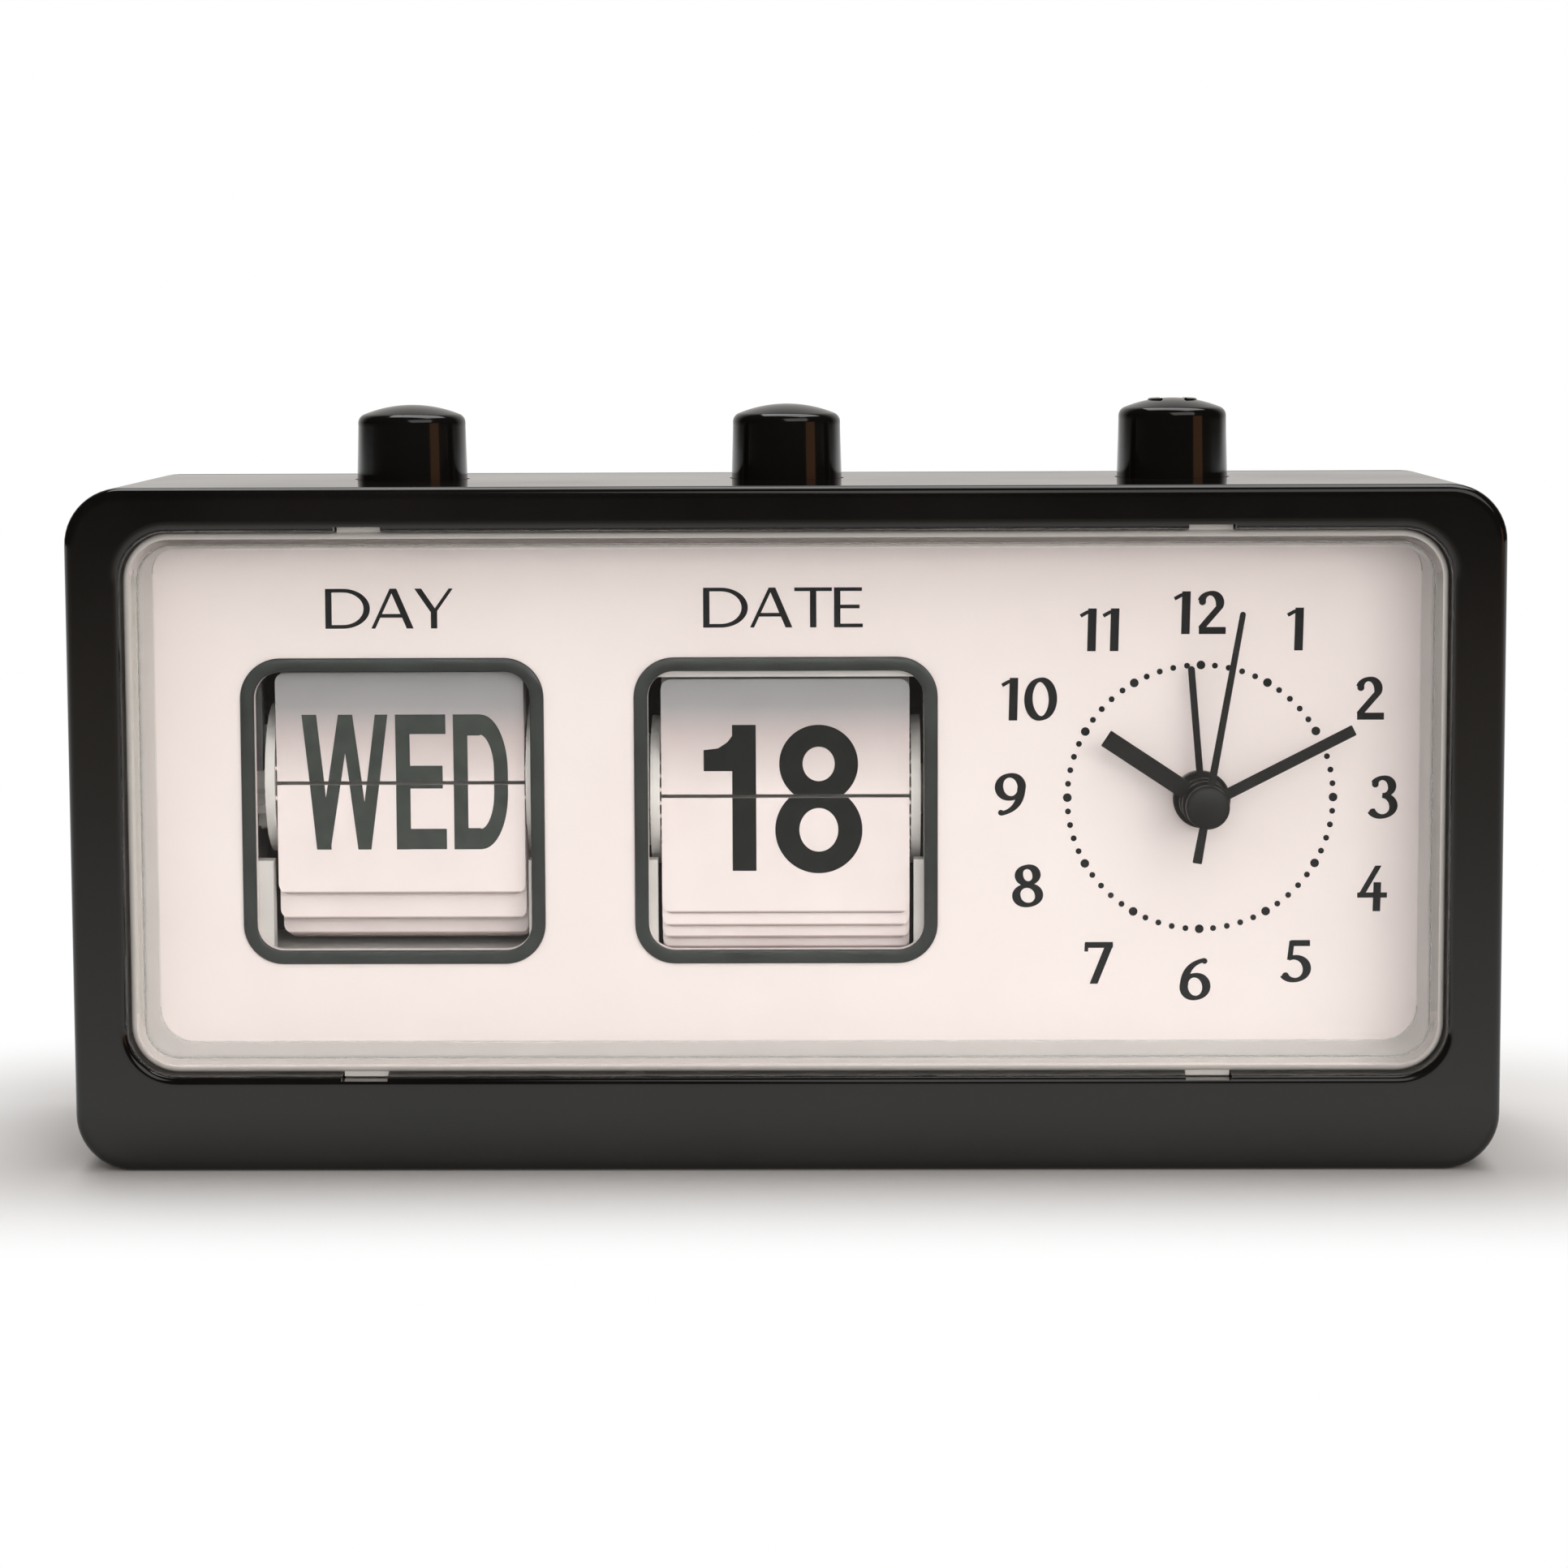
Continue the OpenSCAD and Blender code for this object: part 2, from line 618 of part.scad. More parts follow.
module date_button_spring() color("silver") in_case() translate([0, button_d, 0])
    spring(shelf_z, rim_low_z);
module alarm_button_spring() color("silver") in_case() translate([alarm_button_x, button_d, 0])
    spring(movement_top_z, rim_low_z);

// Push bar: yoke under the button stem, bar down in front of the ratchet, and the pawl on its end
pawl_x = drum_half + ratchet_w / 2;
pawl_half = 0.7;
pawl_h = 0.5;
pawl_bite = 0.4;
pawl_lift = 0.15;
pusher_room = 0.6;
pusher_clear = 0.3;
module pusher(button_x, drum_x, drum_z, n, r) {
    pawl_z = drum_z + r * sin(180 / n) + pawl_lift;
    x = drum_x - pawl_x;
    front = dial_back_d + pusher_room;
    width = [x - pawl_half, x + pawl_half];
    yoke = [yoke_top_z - yoke_h, yoke_top_z];
    bar([width[0], button_x + stem_r], [button_d - stem_r, button_d + stem_r], yoke);
    bar(width, [front, button_d], yoke);
    bar(width, [front, axis_d - r - pusher_clear], [pawl_z, yoke_top_z]);
    bar(width, [front, axis_d - r * cos(180 / n) + pawl_bite], [pawl_z, pawl_z + pawl_h]);
}
module day_pusher() color("#3a3a3a") in_case()
    pusher(-day_button_x, day_x, day_z, day_leaves, day_ratchet_r);
module date_pusher() color("#3a3a3a") in_case() pusher(0, date_x, date_z, date_leaves, date_ratchet_r);

// Cage: two side plates, floor, spring shelf, flanges behind the dial, cheeks beside the hanging leaves
// and a detent finger
leaf_floor_gap = 0.8;
flange_rise = 20;
stop_t = 0.5;
stop_gap = 0.3;
detent_gap = 0.35;
detent_t = 1;
detent_rise = 2;
detent_drop = 6;
cheek_gap = 0.5;
cheek_t = 3;
cheek_drop = 6.4;
module cage(x, z, n, reach, button_x, ratchet_r) {
    left = x - cage_in_left;
    right = x + cage_in_right;
    depth = [dial_back_d, axis_d + cage_back];
    floor_z = z - pivot_r - leaf_len(n, reach) - leaf_floor_gap;
    low = floor_z - cage_t;
    detent_d = axis_d + ratchet_r + detent_gap;
    difference() {
        union() {
            bar([left - cage_t, left], depth, [low, shelf_z]);
            bar([right, right + cage_t], depth, [low, shelf_z]);
            bar([left - bond, right + bond], depth, [low, floor_z]);
            bar([left - bond, right + bond], depth, [shelf_z - cage_t, shelf_z]);
            for (side = [[left - cage_t - flange_w, left], [right, right + cage_t + flange_w]])
                bar(side, [dial_back_d, dial_back_d + cage_t], [low, z + flange_rise]);
            for (side = [[left - bond, x - leaf_w / 2 - cheek_gap], [x + leaf_w / 2 + cheek_gap, right + bond]])
                bar(side, [dial_back_d, dial_back_d + cheek_t], [low, window_z - cheek_drop]);
            bar([x - drum_half, right + bond], [dial_back_d, dial_back_d + stop_t],
                [z + reach + stop_gap, shelf_z]);
            bar([left - bond, left + cage_gap + ratchet_w], [detent_d, detent_d + detent_t],
                [z - detent_drop, z + detent_rise]);
        }
        translate([0, axis_d, z]) across(left - cage_t - past, right + cage_t + past, axle_r);
        translate([button_x, button_d, shelf_z - cage_t - past])
            cylinder(r = stem_r + run_gap, h = cage_t + 2 * past);
        dial_pegs(peg_r + run_gap, dial_back_d + cage_t + past);
    }
}
module day_cage() color("#c9c6c4") in_case()
    cage(day_x, day_z, day_leaves, day_reach, -day_button_x, day_ratchet_r);
module date_cage() color("#c9c6c4") in_case()
    cage(date_x, date_z, date_leaves, date_reach, 0, date_ratchet_r);
module axle() across(-cage_in_left - cage_t, cage_in_right + cage_t, axle_r);
module day_axle() color("silver") at_day() axle();
module date_axle() color("silver") at_date() axle();

// Drum: hub, two discs with a pin hole for every leaf, and a ratchet wheel on the left
hub_r = 3.2;
hub_end_gap = 0.2;
module ratchet(n, r, tooth_h) rotate([0, -90, 0]) linear_extrude(ratchet_w)
    polygon([for (k = [0:n - 1]) let (a = 180 / n + k * 360 / n) each
        [r * [sin(a), -cos(a)], (r - tooth_h) * [sin(a), -cos(a)]]]);
module drum(n, ratchet_r, tooth_h) difference() {
    union() {
        across(-cage_in_left + hub_end_gap, cage_in_right - hub_end_gap, hub_r);
        for (s = [-drum_half, drum_half - disc_t]) across(s, s + disc_t, pivot_r + disc_rim);
        translate([-drum_half + bond, 0, 0]) ratchet(n, ratchet_r, tooth_h);
    }
    across(-cage_in_left - past, cage_in_right + past, axle_r + run_gap);
    for (k = [0:n - 1]) let (a = 180 / n + k * 360 / n)
        translate([0, -pivot_r * cos(a), pivot_r * sin(a)])
            for (s = [-drum_half - bond / 4, drum_half - disc_t - bond])
                across(s, s + disc_t + bond, pin_r + pin_gap);
}
module day_drum() color("#d8d6d4") at_day() drum(day_leaves, day_ratchet_r, day_tooth_h);
module date_drum() color("#d8d6d4") at_date() drum(date_leaves, date_ratchet_r, date_tooth_h);

// Leaf number i of n, counted backwards over the top from the upright one, turned to its own angle
tab_in = 0.5;
tab_out = 0.4;
pin_step = 0.05;
module leaf_shape(len, tail) {
    translate([-leaf_w / 2, -tail]) square([leaf_w, tail + len - leaf_corner]);
    translate([-leaf_w / 2 + leaf_corner, 0]) square([leaf_w - 2 * leaf_corner, len]);
    for (s = [-1, 1]) {
        translate([s * (leaf_w / 2 - leaf_corner), len - leaf_corner]) circle(leaf_corner);
        translate([s * (leaf_w + tab_out - tab_in) / 2, 0]) square([tab_in + tab_out, pin_r], center = true);
    }
}
module leaf(n, reach, i, angle) {
    a = 180 / n + i * 360 / n;
    len = leaf_len(n, reach);
    tail = leaf_tail(n);
    translate([0, -pivot_r * cos(a), pivot_r * sin(a)]) rotate([90 - angle, 0, 0]) {
        plate(-leaf_t / 2, leaf_t / 2) leaf_shape(len, tail);
        for (s = [-1, 1]) scale([s, 1, 1]) across(leaf_w / 2 + pin_step, drum_half, pin_r);
    }
}
module leaf_colour() color("#f2f0ee") children();
function rising(n, i) = 90 - flip_lean + i * 360 / n;
day_rising = floor(day_leaves / 2);
date_rising = floor(date_leaves / 2);
date_front = 4;
module day_flip_leaf() leaf_colour() at_day() leaf(day_leaves, day_reach, 0, rising(day_leaves, 0));
module day_rising_leaves() leaf_colour() at_day() for (i = [1:day_rising])
    leaf(day_leaves, day_reach, i, rising(day_leaves, i) + (i > 1 && i < day_rising ? day_lean : 0));
module day_hanging_leaf(k) leaf_colour() at_day() leaf(day_leaves, day_reach, day_leaves - k, -90);
module date_flip_leaf() leaf_colour() at_date() leaf(date_leaves, date_reach, 0, rising(date_leaves, 0));
module date_rising_leaves() leaf_colour() at_date() for (i = [1:date_rising])
    leaf(date_leaves, date_reach, i, rising(date_leaves, i));
module date_hanging_leaf(k) leaf_colour() at_date() leaf(date_leaves, date_reach, date_leaves - k, -90);
module date_hanging_leaves_rear() leaf_colour() at_date()
    for (i = [date_rising + 1:date_leaves - date_front - 1]) leaf(date_leaves, date_reach, i, -90);

// Gear wheel with straight-sided teeth and a generous backlash, one tooth on the angle turn
tooth_share = 0.36;
addendum = 0.7;
dedendum = 0.95;
root_share = 1.35;
function tooth(n, m) =
    let (r = n * m / 2, low = r - dedendum * m, high = r + addendum * m, h = tooth_share * 180 / n)
    [[low, -root_share * h], [r, -h], [high, -h / 2], [high, h / 2], [r, h], [low, root_share * h]];
module gear(at, n, m, d0, d1, turn) plate(d0, d1) translate(at) rotate(turn)
    polygon([for (k = [0:n - 1], p = tooth(n, m)) let (a = p[1] + 360 * k / n) p[0] * [cos(a), sin(a)]]);
// Turn that puts a gap of a wheel against a tooth of the wheel that lies in direction dir from it
function gap_turn(n, dir) = dir + 180 / n;
module wheel(at, n, m, k, turn) gear(at, n, m, layer(k), layer(k) + wheel_t, turn);
module pivot_bores(places, d0, d1) for (p = places) peg(p, d0 - past, d1 + past, pivot_pin_r + tube_gap);

// Outline of the housing with its battery bay, drawn inset from its outer faces
module housing(inset) translate([-movement_half + inset, housing_low_z + inset])
    square([2 * (movement_half - inset), movement_w / 2 - housing_low_z - 2 * inset]);
bush_step = 0.2;
arbor_gap = 0.4;
module movement_front() color("#dcdad6") at_clock() difference() {
    union() {
        plate(dial_back_d, movement_in_d) housing(0);
        plate(dial_back_d, movement_rear_d) difference() {
            housing(0);
            housing(movement_wall);
        }
        bar([-bay_end - bond, bay_end + bond], [dial_back_d, movement_rear_d], [bay_z, bay_z + bay_wall]);
        peg([0, 0], dial_d - bush_step, movement_in_d, bush_out);
        for (p = pillars) peg(p, dial_back_d + bond, bridge_d, pillar_r);
        bar([contact_x, contact_x + contact_foot], [dial_back_d + bond, button_d + contact_w / 2],
            [contact_z - contact_foot_h, contact_z]);
    }
    peg([0, 0], dial_d - past, movement_in_d + past, bush_in);
    pivot_bores([minute_at, alarm_at], dial_back_d, movement_in_d);
    translate([alarm_button_x - clock_x, button_d, movement_w / 2 - movement_wall - past])
        cylinder(r = stem_r + run_gap, h = movement_wall + 2 * past);
    translate([-clock_x, 0, -clock_z]) dial_pegs(peg_r + run_gap, movement_in_d + past);
}
module movement_bridge() color("#b9b4aa") at_clock() difference() {
    bar([-pillar_x - bridge_edge, pillar_x + bridge_edge], [bridge_d, bridge_d + bridge_t],
        [pillar_low_z - bridge_edge, pillar_high_z + bridge_edge]);
    peg([0, 0], bridge_d - past, bridge_d + bridge_t + past, centre_hub_r + tube_gap);
    pivot_bores([third_at, inter_at, rotor_at], bridge_d, bridge_d + bridge_t);
    for (p = [minute_at, alarm_at]) peg(p, bridge_d - past, bridge_d + bridge_t + past, arbor_r + arbor_gap);
}
module movement_back() color("#cfccc6") at_clock() difference() {
    bar([-movement_half, movement_half], [movement_rear_d, movement_back_d], [bay_z, movement_w / 2]);
    pivot_bores([[0, 0], third_at, inter_at, rotor_at], movement_rear_d, movement_back_d);
    for (p = [minute_at, alarm_at]) peg(p, movement_rear_d - past, movement_back_d + past, arbor_r + tube_gap);
}

centre_hub_r = 1.4;
centre_hub_step = 0.3;
module second_wheel() color("#c8a24a") at_clock() {
    peg([0, 0], cap_d + hand_seat, movement_back_d, pivot_pin_r);
    peg([0, 0], second_d + hand_seat, movement_rear_d - layer_gap / 2, second_r);
    wheel([0, 0], 40, inter_m, 5, gap_turn(40, inter_dir));
    wheel([0, 0], 8, third_m, 4, 90);
}
module third_wheel() color("#c8a24a") at_clock() {
    peg(third_at, bridge_d, movement_back_d, pivot_pin_r);
    peg(third_at, bridge_d + bridge_t + layer_gap / 2, movement_rear_d - layer_gap / 2, arbor_r);
    wheel(third_at, 64, third_m, 4, gap_turn(64, -90));
    wheel(third_at, 8, centre_m, 3, -90);
}
module centre_wheel() color("#c8a24a") at_clock() difference() {
    union() {
        wheel([0, 0], 60, centre_m, 3, gap_turn(60, 90));
        peg([0, 0], bridge_d - centre_hub_step, layer(3) + wheel_t, centre_hub_r);
    }
    peg([0, 0], bridge_d - past, layer(4), second_r + tube_gap);
}
module cannon_pinion() color("#c8a24a") at_clock() difference() {
    union() {
        wheel([0, 0], 12, motion_m, 2, 180);
        peg([0, 0], minute_d, layer(2) + wheel_t, minute_out);
    }
    peg([0, 0], minute_d - past, layer(3), minute_in);
}
module minute_wheel() color("#c8a24a") at_clock() {
    peg(minute_at, dial_back_d, movement_rear_d, pivot_pin_r);
    peg(minute_at, movement_in_d + layer_gap / 2, case_rear_d + cover_t + knob_gap + bond, arbor_r);
    wheel(minute_at, 36, motion_m, 2, gap_turn(36, 0));
    wheel(minute_at, 10, hour_m, 1, 0);
}
module hour_wheel() color("#e4e1da") at_clock() difference() {
    union() {
        wheel([0, 0], 40, hour_m, 1, gap_turn(40, 180));
        peg([0, 0], hour_d, layer(1) + wheel_t, hour_out);
    }
    peg([0, 0], hour_d - past, layer(2), hour_in);
}
module alarm_wheel() color("#e4e1da") at_clock() difference() {
    union() {
        wheel([0, 0], 40, alarm_m, 0, gap_turn(40, alarm_dir));
        peg([0, 0], alarm_d, layer(0) + wheel_t, alarm_out);
    }
    peg([0, 0], alarm_d - past, layer(1), alarm_in);
}
module alarm_set_pinion() color("#e4e1da") at_clock() {
    peg(alarm_at, dial_back_d, movement_rear_d, pivot_pin_r);
    peg(alarm_at, movement_in_d + layer_gap / 2, case_rear_d + cover_t + knob_gap + bond, arbor_r);
    wheel(alarm_at, 10, alarm_m, 0, alarm_dir + 180);
}
module intermediate_wheel() color("#e4e1da") at_clock() {
    peg(inter_at, bridge_d, movement_back_d, pivot_pin_r);
    peg(inter_at, bridge_d + bridge_t + layer_gap / 2, movement_rear_d - layer_gap / 2, arbor_r);
    wheel(inter_at, 8, inter_m, 5, inter_dir + 180);
    wheel(inter_at, 48, rotor_m, 6, gap_turn(48, rotor_dir));
}
module rotor() color("#5d5f63") at_clock() {
    peg(rotor_at, bridge_d, movement_back_d, pivot_pin_r);
    peg(rotor_at, bridge_d + bridge_t + layer_gap / 2, movement_rear_d - layer_gap / 2, arbor_r);
    wheel(rotor_at, 8, rotor_m, 6, rotor_dir + 180);
    peg(rotor_at, layer(7), layer(7) + rotor_h, rotor_r);
}
// Stator plate round the rotor, closed by the core of the coil
coil_r_out = 3.2;
coil_gap = 1.1;
coil_l = 23;
coil_end = 1;
coil_z = movement_w / 2 - movement_wall - coil_gap - coil_r_out;
stator_step = 0.4;
stator_d = layer(7) + stator_step;
stator_t = 0.9;
stator_ring = 2.4;
stator_gap = 0.5;
stator_leg = 3;
stator_bar = 2.8;
core_h = 2;
stator_left = -18;
stator_right = rotor_at[0] + stator_leg / 2;
stator_low = rotor_at[1] + rotor_r + stator_ring / 2;
module stator_coil() color("#b0673a") at_clock() {
    difference() {
        plate(stator_d, stator_d + stator_t) {
            translate(rotor_at) circle(rotor_r + stator_ring);
            translate([stator_left, stator_low]) square([rotor_at[0] - stator_left, stator_bar]);
            for (x = [stator_left, stator_right - stator_leg])
                translate([x, stator_low]) square([stator_leg, coil_z + core_h / 2 - stator_low]);
            translate([stator_left, coil_z - core_h / 2]) square([stator_right - stator_left, core_h]);
        }
        peg(rotor_at, stator_d - past, stator_d + stator_t + past, rotor_r + stator_gap);
    }
    translate([stator_left + stator_leg + coil_end, movement_rear_d - coil_r_out, coil_z])
        across(0, coil_l, coil_r_out);
}
board_gap = 0.8;
board_l = 20;
board_low = -9;
board_high = 8;
board_t = 0.8;
board_room = 1.6;
board_d = movement_rear_d - board_room;
board_left = -bay_end + board_gap;
board_inset = 2;
board_hole_gap = 0.8;
board_peg_r = 0.8;
chip_w = 7;
chip_h = 4;
chip_t = 1.4;
chip_in = 4;
module circuit_board() color("#2f6b3f") at_clock() {
    difference() {
        bar([board_left, board_left + board_l], [board_d, board_d + board_t], [board_low, board_high]);
        peg(minute_at, board_d - past, board_d + board_t + past, arbor_r + board_hole_gap);
    }
    for (x = [board_left + board_inset, board_left + board_l - board_inset])
        for (z = [board_low + board_inset, board_high - board_inset])
            peg([x, z], board_d + board_t - bond / 2, movement_rear_d, board_peg_r);
    translate([board_left + chip_in, 0, board_low + board_inset])
        bar([0, chip_w], [board_d - chip_t, board_d + bond / 2], [0, chip_h]);
}
contact_t = 0.2;
contact_l = 11;
contact_w = 3;
contact_foot = 3;
contact_foot_h = 1.2;
contact_gap = 0.3;
contact_x = alarm_button_x - clock_x + stem_r - contact_l;
contact_z = movement_w / 2 - stem_reach - alarm_travel - contact_gap - contact_t;
module alarm_contact() color("#c8b06a") at_clock()
    bar([contact_x, contact_x + contact_l], [button_d - contact_w / 2, button_d + contact_w / 2],
        [contact_z, contact_z + contact_t]);
nub_l = 1.4;
nub_r = 2.6;
module battery() color("#4d4f52") at_clock() translate([0, battery_d, battery_z]) {
    across(-battery_l / 2, battery_l / 2 - nub_l, battery_r);
    across(0, battery_l / 2, nub_r);
}
terminal_t = 0.4;
terminal_w = 8;
terminal_h = 10;
terminal_coil_r = 3;
module terminal(x0, x1) bar([x0, x1], [-terminal_w / 2, terminal_w / 2], [-terminal_h / 2, terminal_h / 2]);
module battery_contacts() color("silver") at_clock() translate([0, battery_d, battery_z]) {
    terminal(battery_l / 2, bay_end);
    terminal(-bay_end, -bay_end + terminal_t);
    across(-bay_end + terminal_t / 2, -battery_l / 2, terminal_coil_r);
}

// Knob with a ribbed grip on the end of its arbor
rib_r = 0.5;
rib_count = 18;
rib_step = 0.6;
module knob(at, r) {
    base = body_d + knob_gap;
    ring = r - rib_r;
    difference() {
        union() {
            peg(at, base, body_d + knob_proud, ring);
            for (k = [1:rib_count]) let (a = 360 * k / rib_count)
                peg(at + ring * [cos(a), sin(a)], base, body_d + knob_proud - rib_step, rib_r);
        }
        peg(at, base - past, base + bond, arbor_r);
    }
}
module time_knob() color("#202020") at_clock() knob(minute_at, time_knob_r);
module alarm_knob() color("#202020") at_clock() knob(alarm_at, alarm_knob_r);

// Hand blade drawn upwards as a flat outline, then turned clockwise to its angle
module hand(angle, d, hub_r, bore_r) difference() {
    union() {
        plate(d, d + hand_t) rotate(-angle) children();
        peg([0, 0], d, d + hub_t, hub_r);
    }
    peg([0, 0], d - past, d + hub_t + past, bore_r);
}
module blade(length, root_w, tip_w)
    polygon([[-root_w / 2, 0], [-tip_w / 2, length], [tip_w / 2, length], [root_w / 2, 0]]);
second_tip = 0.7;
second_tail_w = 1.15;
minute_hub_r = cap_r + 0.2;
hour_hub_r = cap_r + 0.3;
alarm_hub_r = bush_out + 0.2;
module second_hand() color("#181818") at_clock() difference() {
    union() {
        plate(second_d, second_d + hand_t) rotate(-second_angle) {
            blade(second_l, second_w, second_tip);
            rotate(180) blade(second_tail, second_w, second_tail_w);
        }
        peg([0, 0], cap_d, second_d + hand_t, cap_r);
    }
    peg([0, 0], cap_d + hand_seat, second_d + hand_t + past, pivot_pin_r);
    peg([0, 0], second_d + hand_seat, second_d + hand_t + past, second_r);
}
module minute_hand() color("#181818") at_clock() hand(minute_angle, minute_d, minute_hub_r, minute_out)
    blade(minute_l, minute_w, minute_w);
module hour_hand() color("#181818") at_clock() hand(hour_angle, hour_d, hour_hub_r, hour_out)
    blade(hour_l, hour_w, hour_w);
module alarm_hand() color("#181818") at_clock() hand(alarm_angle, alarm_d, alarm_hub_r, alarm_out)
    blade(alarm_l, alarm_w, alarm_w);

front_case();
rear_cover();
window_lens();
dial_plate();
case_screws();
battery_door();
day_button();
date_button();
alarm_button();
day_pusher();
date_pusher();
day_button_spring();
date_button_spring();
alarm_button_spring();
day_cage();
day_axle();
day_drum();
day_flip_leaf();
day_rising_leaves();
for (k = [1:6]) day_hanging_leaf(k);
date_cage();
date_axle();
date_drum();
date_flip_leaf();
date_rising_leaves();
for (k = [1:4]) date_hanging_leaf(k);
date_hanging_leaves_rear();
movement_front();
movement_bridge();
movement_back();
second_wheel();
third_wheel();
centre_wheel();
cannon_pinion();
minute_wheel();
hour_wheel();
alarm_wheel();
alarm_set_pinion();
intermediate_wheel();
rotor();
stator_coil();
circuit_board();
alarm_contact();
battery();
battery_contacts();
time_knob();
alarm_knob();
second_hand();
minute_hand();
hour_hand();
alarm_hand();
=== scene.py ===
# %% [markdown]
# A desk calendar clock with flip leaves
#
# The real clock is a glossy black case with a clear window, two drums of printed leaves that flip over,
# and a small alarm movement with four hands. Its construction is packed as a frame of moving bodies.
# This lesson dresses that frame: every new shape is a numpy surface, every finish a small node tree.

# %% Load the imported frame
import json

import bmesh
import bpy
import numpy as np
from mathutils import Matrix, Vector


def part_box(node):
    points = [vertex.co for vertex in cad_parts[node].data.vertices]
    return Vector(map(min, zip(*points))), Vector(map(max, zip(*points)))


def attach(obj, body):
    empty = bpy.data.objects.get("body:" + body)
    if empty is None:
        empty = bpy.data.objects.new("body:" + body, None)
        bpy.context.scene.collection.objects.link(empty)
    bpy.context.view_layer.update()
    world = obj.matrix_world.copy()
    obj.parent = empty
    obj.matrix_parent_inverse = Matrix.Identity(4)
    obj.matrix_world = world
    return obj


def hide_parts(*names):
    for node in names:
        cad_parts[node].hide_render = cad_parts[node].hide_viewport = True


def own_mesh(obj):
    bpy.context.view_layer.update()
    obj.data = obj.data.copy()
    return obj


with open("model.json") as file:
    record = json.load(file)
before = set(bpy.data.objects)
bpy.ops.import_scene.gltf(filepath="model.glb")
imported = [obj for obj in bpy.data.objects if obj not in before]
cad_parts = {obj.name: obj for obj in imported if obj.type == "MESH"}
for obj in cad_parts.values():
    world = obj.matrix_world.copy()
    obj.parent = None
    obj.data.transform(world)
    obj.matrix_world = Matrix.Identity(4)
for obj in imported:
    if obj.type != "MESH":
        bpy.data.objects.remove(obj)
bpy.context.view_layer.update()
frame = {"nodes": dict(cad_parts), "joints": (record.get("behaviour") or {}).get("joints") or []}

# %% [markdown]
# Places and sizes
#
# A maker measures such a case from its front face, so x runs to the right, d is the depth behind the
# front face and z is the height, all in millimetres. The frame's boxes and joints give sizes and axes.
# Only roundings, prints and other things that the frame doesn't hold are new values further down.

# %% Sizes read from the frame
MM = 0.001
front = np.array([0.0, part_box("front_case")[0].y / MM, 0.0])


def span(node):
    """Lowest and highest corner of a node as (x, d, z)."""
    return [np.array(corner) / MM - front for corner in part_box(node)]


def pivot(joint):
    """Place of a hinge as (x, d, z)."""
    row = next(row for row in frame["joints"] if row["name"] == joint)
    return np.array(row["pos_m"]) / MM - front


body_w, rear_d, body_h = span("front_case")[1] * (2, 1, 1)
back_d = span("rear_cover")[1][1]
lens_low, lens_high = span("window_lens")
dial_d = span("dial_plate")[0][1]
clock_x, _, clock_z = pivot("seconds_turn")
print("case", body_w, body_h, back_d, "dial at", dial_d, "clock axis", clock_x, clock_z)

# %% [markdown]
# Surfaces from two parameters
#
# Nearly every moulded part here is a section carried round a rounded rectangle, or turned round an axis.
# Both give a grid of points, rows along the section and columns along the path, and one function puts
# faces over any such grid. Extra columns just beside each corner keep the flat sides flat in their shading.


# %% Sections and paths
def arc(centre, radii, start, end, steps=10):
    """Points on an ellipse: centre plus the radii times cosine and sine, from start to end degrees."""
    turn = np.radians(np.linspace(start, end, steps))
    return np.array(centre) + np.array(radii) * np.stack([np.cos(turn), np.sin(turn)], -1)


def outline(width, height, radius, steps=14, ease=0.4):
    """Rounded rectangles, one per row: each corner is a quarter circle of the row's radius about a centre
    pulled in by that radius, with one more point on the straight before it and after it."""
    quarter = np.r_[0, np.linspace(0, np.pi / 2, steps), np.pi / 2]
    turn = (quarter + np.arange(4)[:, None] * np.pi / 2).ravel()
    along = np.tile(np.r_[-ease, np.zeros(steps), ease], 4)
    side_x = np.repeat([1, -1, -1, 1], steps + 2)
    side_z = np.repeat([1, 1, -1, -1], steps + 2)
    width, height, radius = (np.reshape(size, (-1, 1)) for size in (width, height, radius))
    x = side_x * (width / 2 - radius) + radius * np.cos(turn) - along * np.sin(turn)
    z = side_z * (height / 2 - radius) + radius * np.sin(turn) + along * np.cos(turn)
    return x, z


def carried(section, width, height, radius, at):
    """A section carried round a rounded rectangle: each (outset, depth) row is the rectangle grown by its
    outset and laid at its depth, about the middle given as (x, z)."""
    outset, depth = np.array(section, float).T
    x, z = outline(width + 2 * outset, height + 2 * outset, radius + outset)
    return np.stack([x + at[0], np.broadcast_to(depth[:, None], x.shape), z + at[1]], -1)


def turned(section, at, axis, columns=72):
    """A section of (radius, height) rows turned once round an upright axis or one along the depth: two
    coordinates are radius times cosine and sine, the third is the height."""
    radius, height = np.array(section, float).T
    turn = np.linspace(0, 2 * np.pi, columns, endpoint=False)
    across = np.stack([radius[:, None] * np.cos(turn), radius[:, None] * np.sin(turn)], -1)
    rise = np.broadcast_to(height[:, None], across.shape[:2])
    order = (across[..., 0], across[..., 1], rise) if axis == "z" else (across[..., 0], rise, across[..., 1])
    return np.stack(order, -1) + np.array(at)


def block(low, high):
    """A box as a grid of two rows: the four corners at its low depth, then at its high depth."""
    x = np.array([low[0], high[0], high[0], low[0]])
    z = np.array([low[2], low[2], high[2], high[2]])
    rows = [np.stack([x, np.full(4, depth), z], -1) for depth in (low[1], high[1])]
    return np.stack(rows)


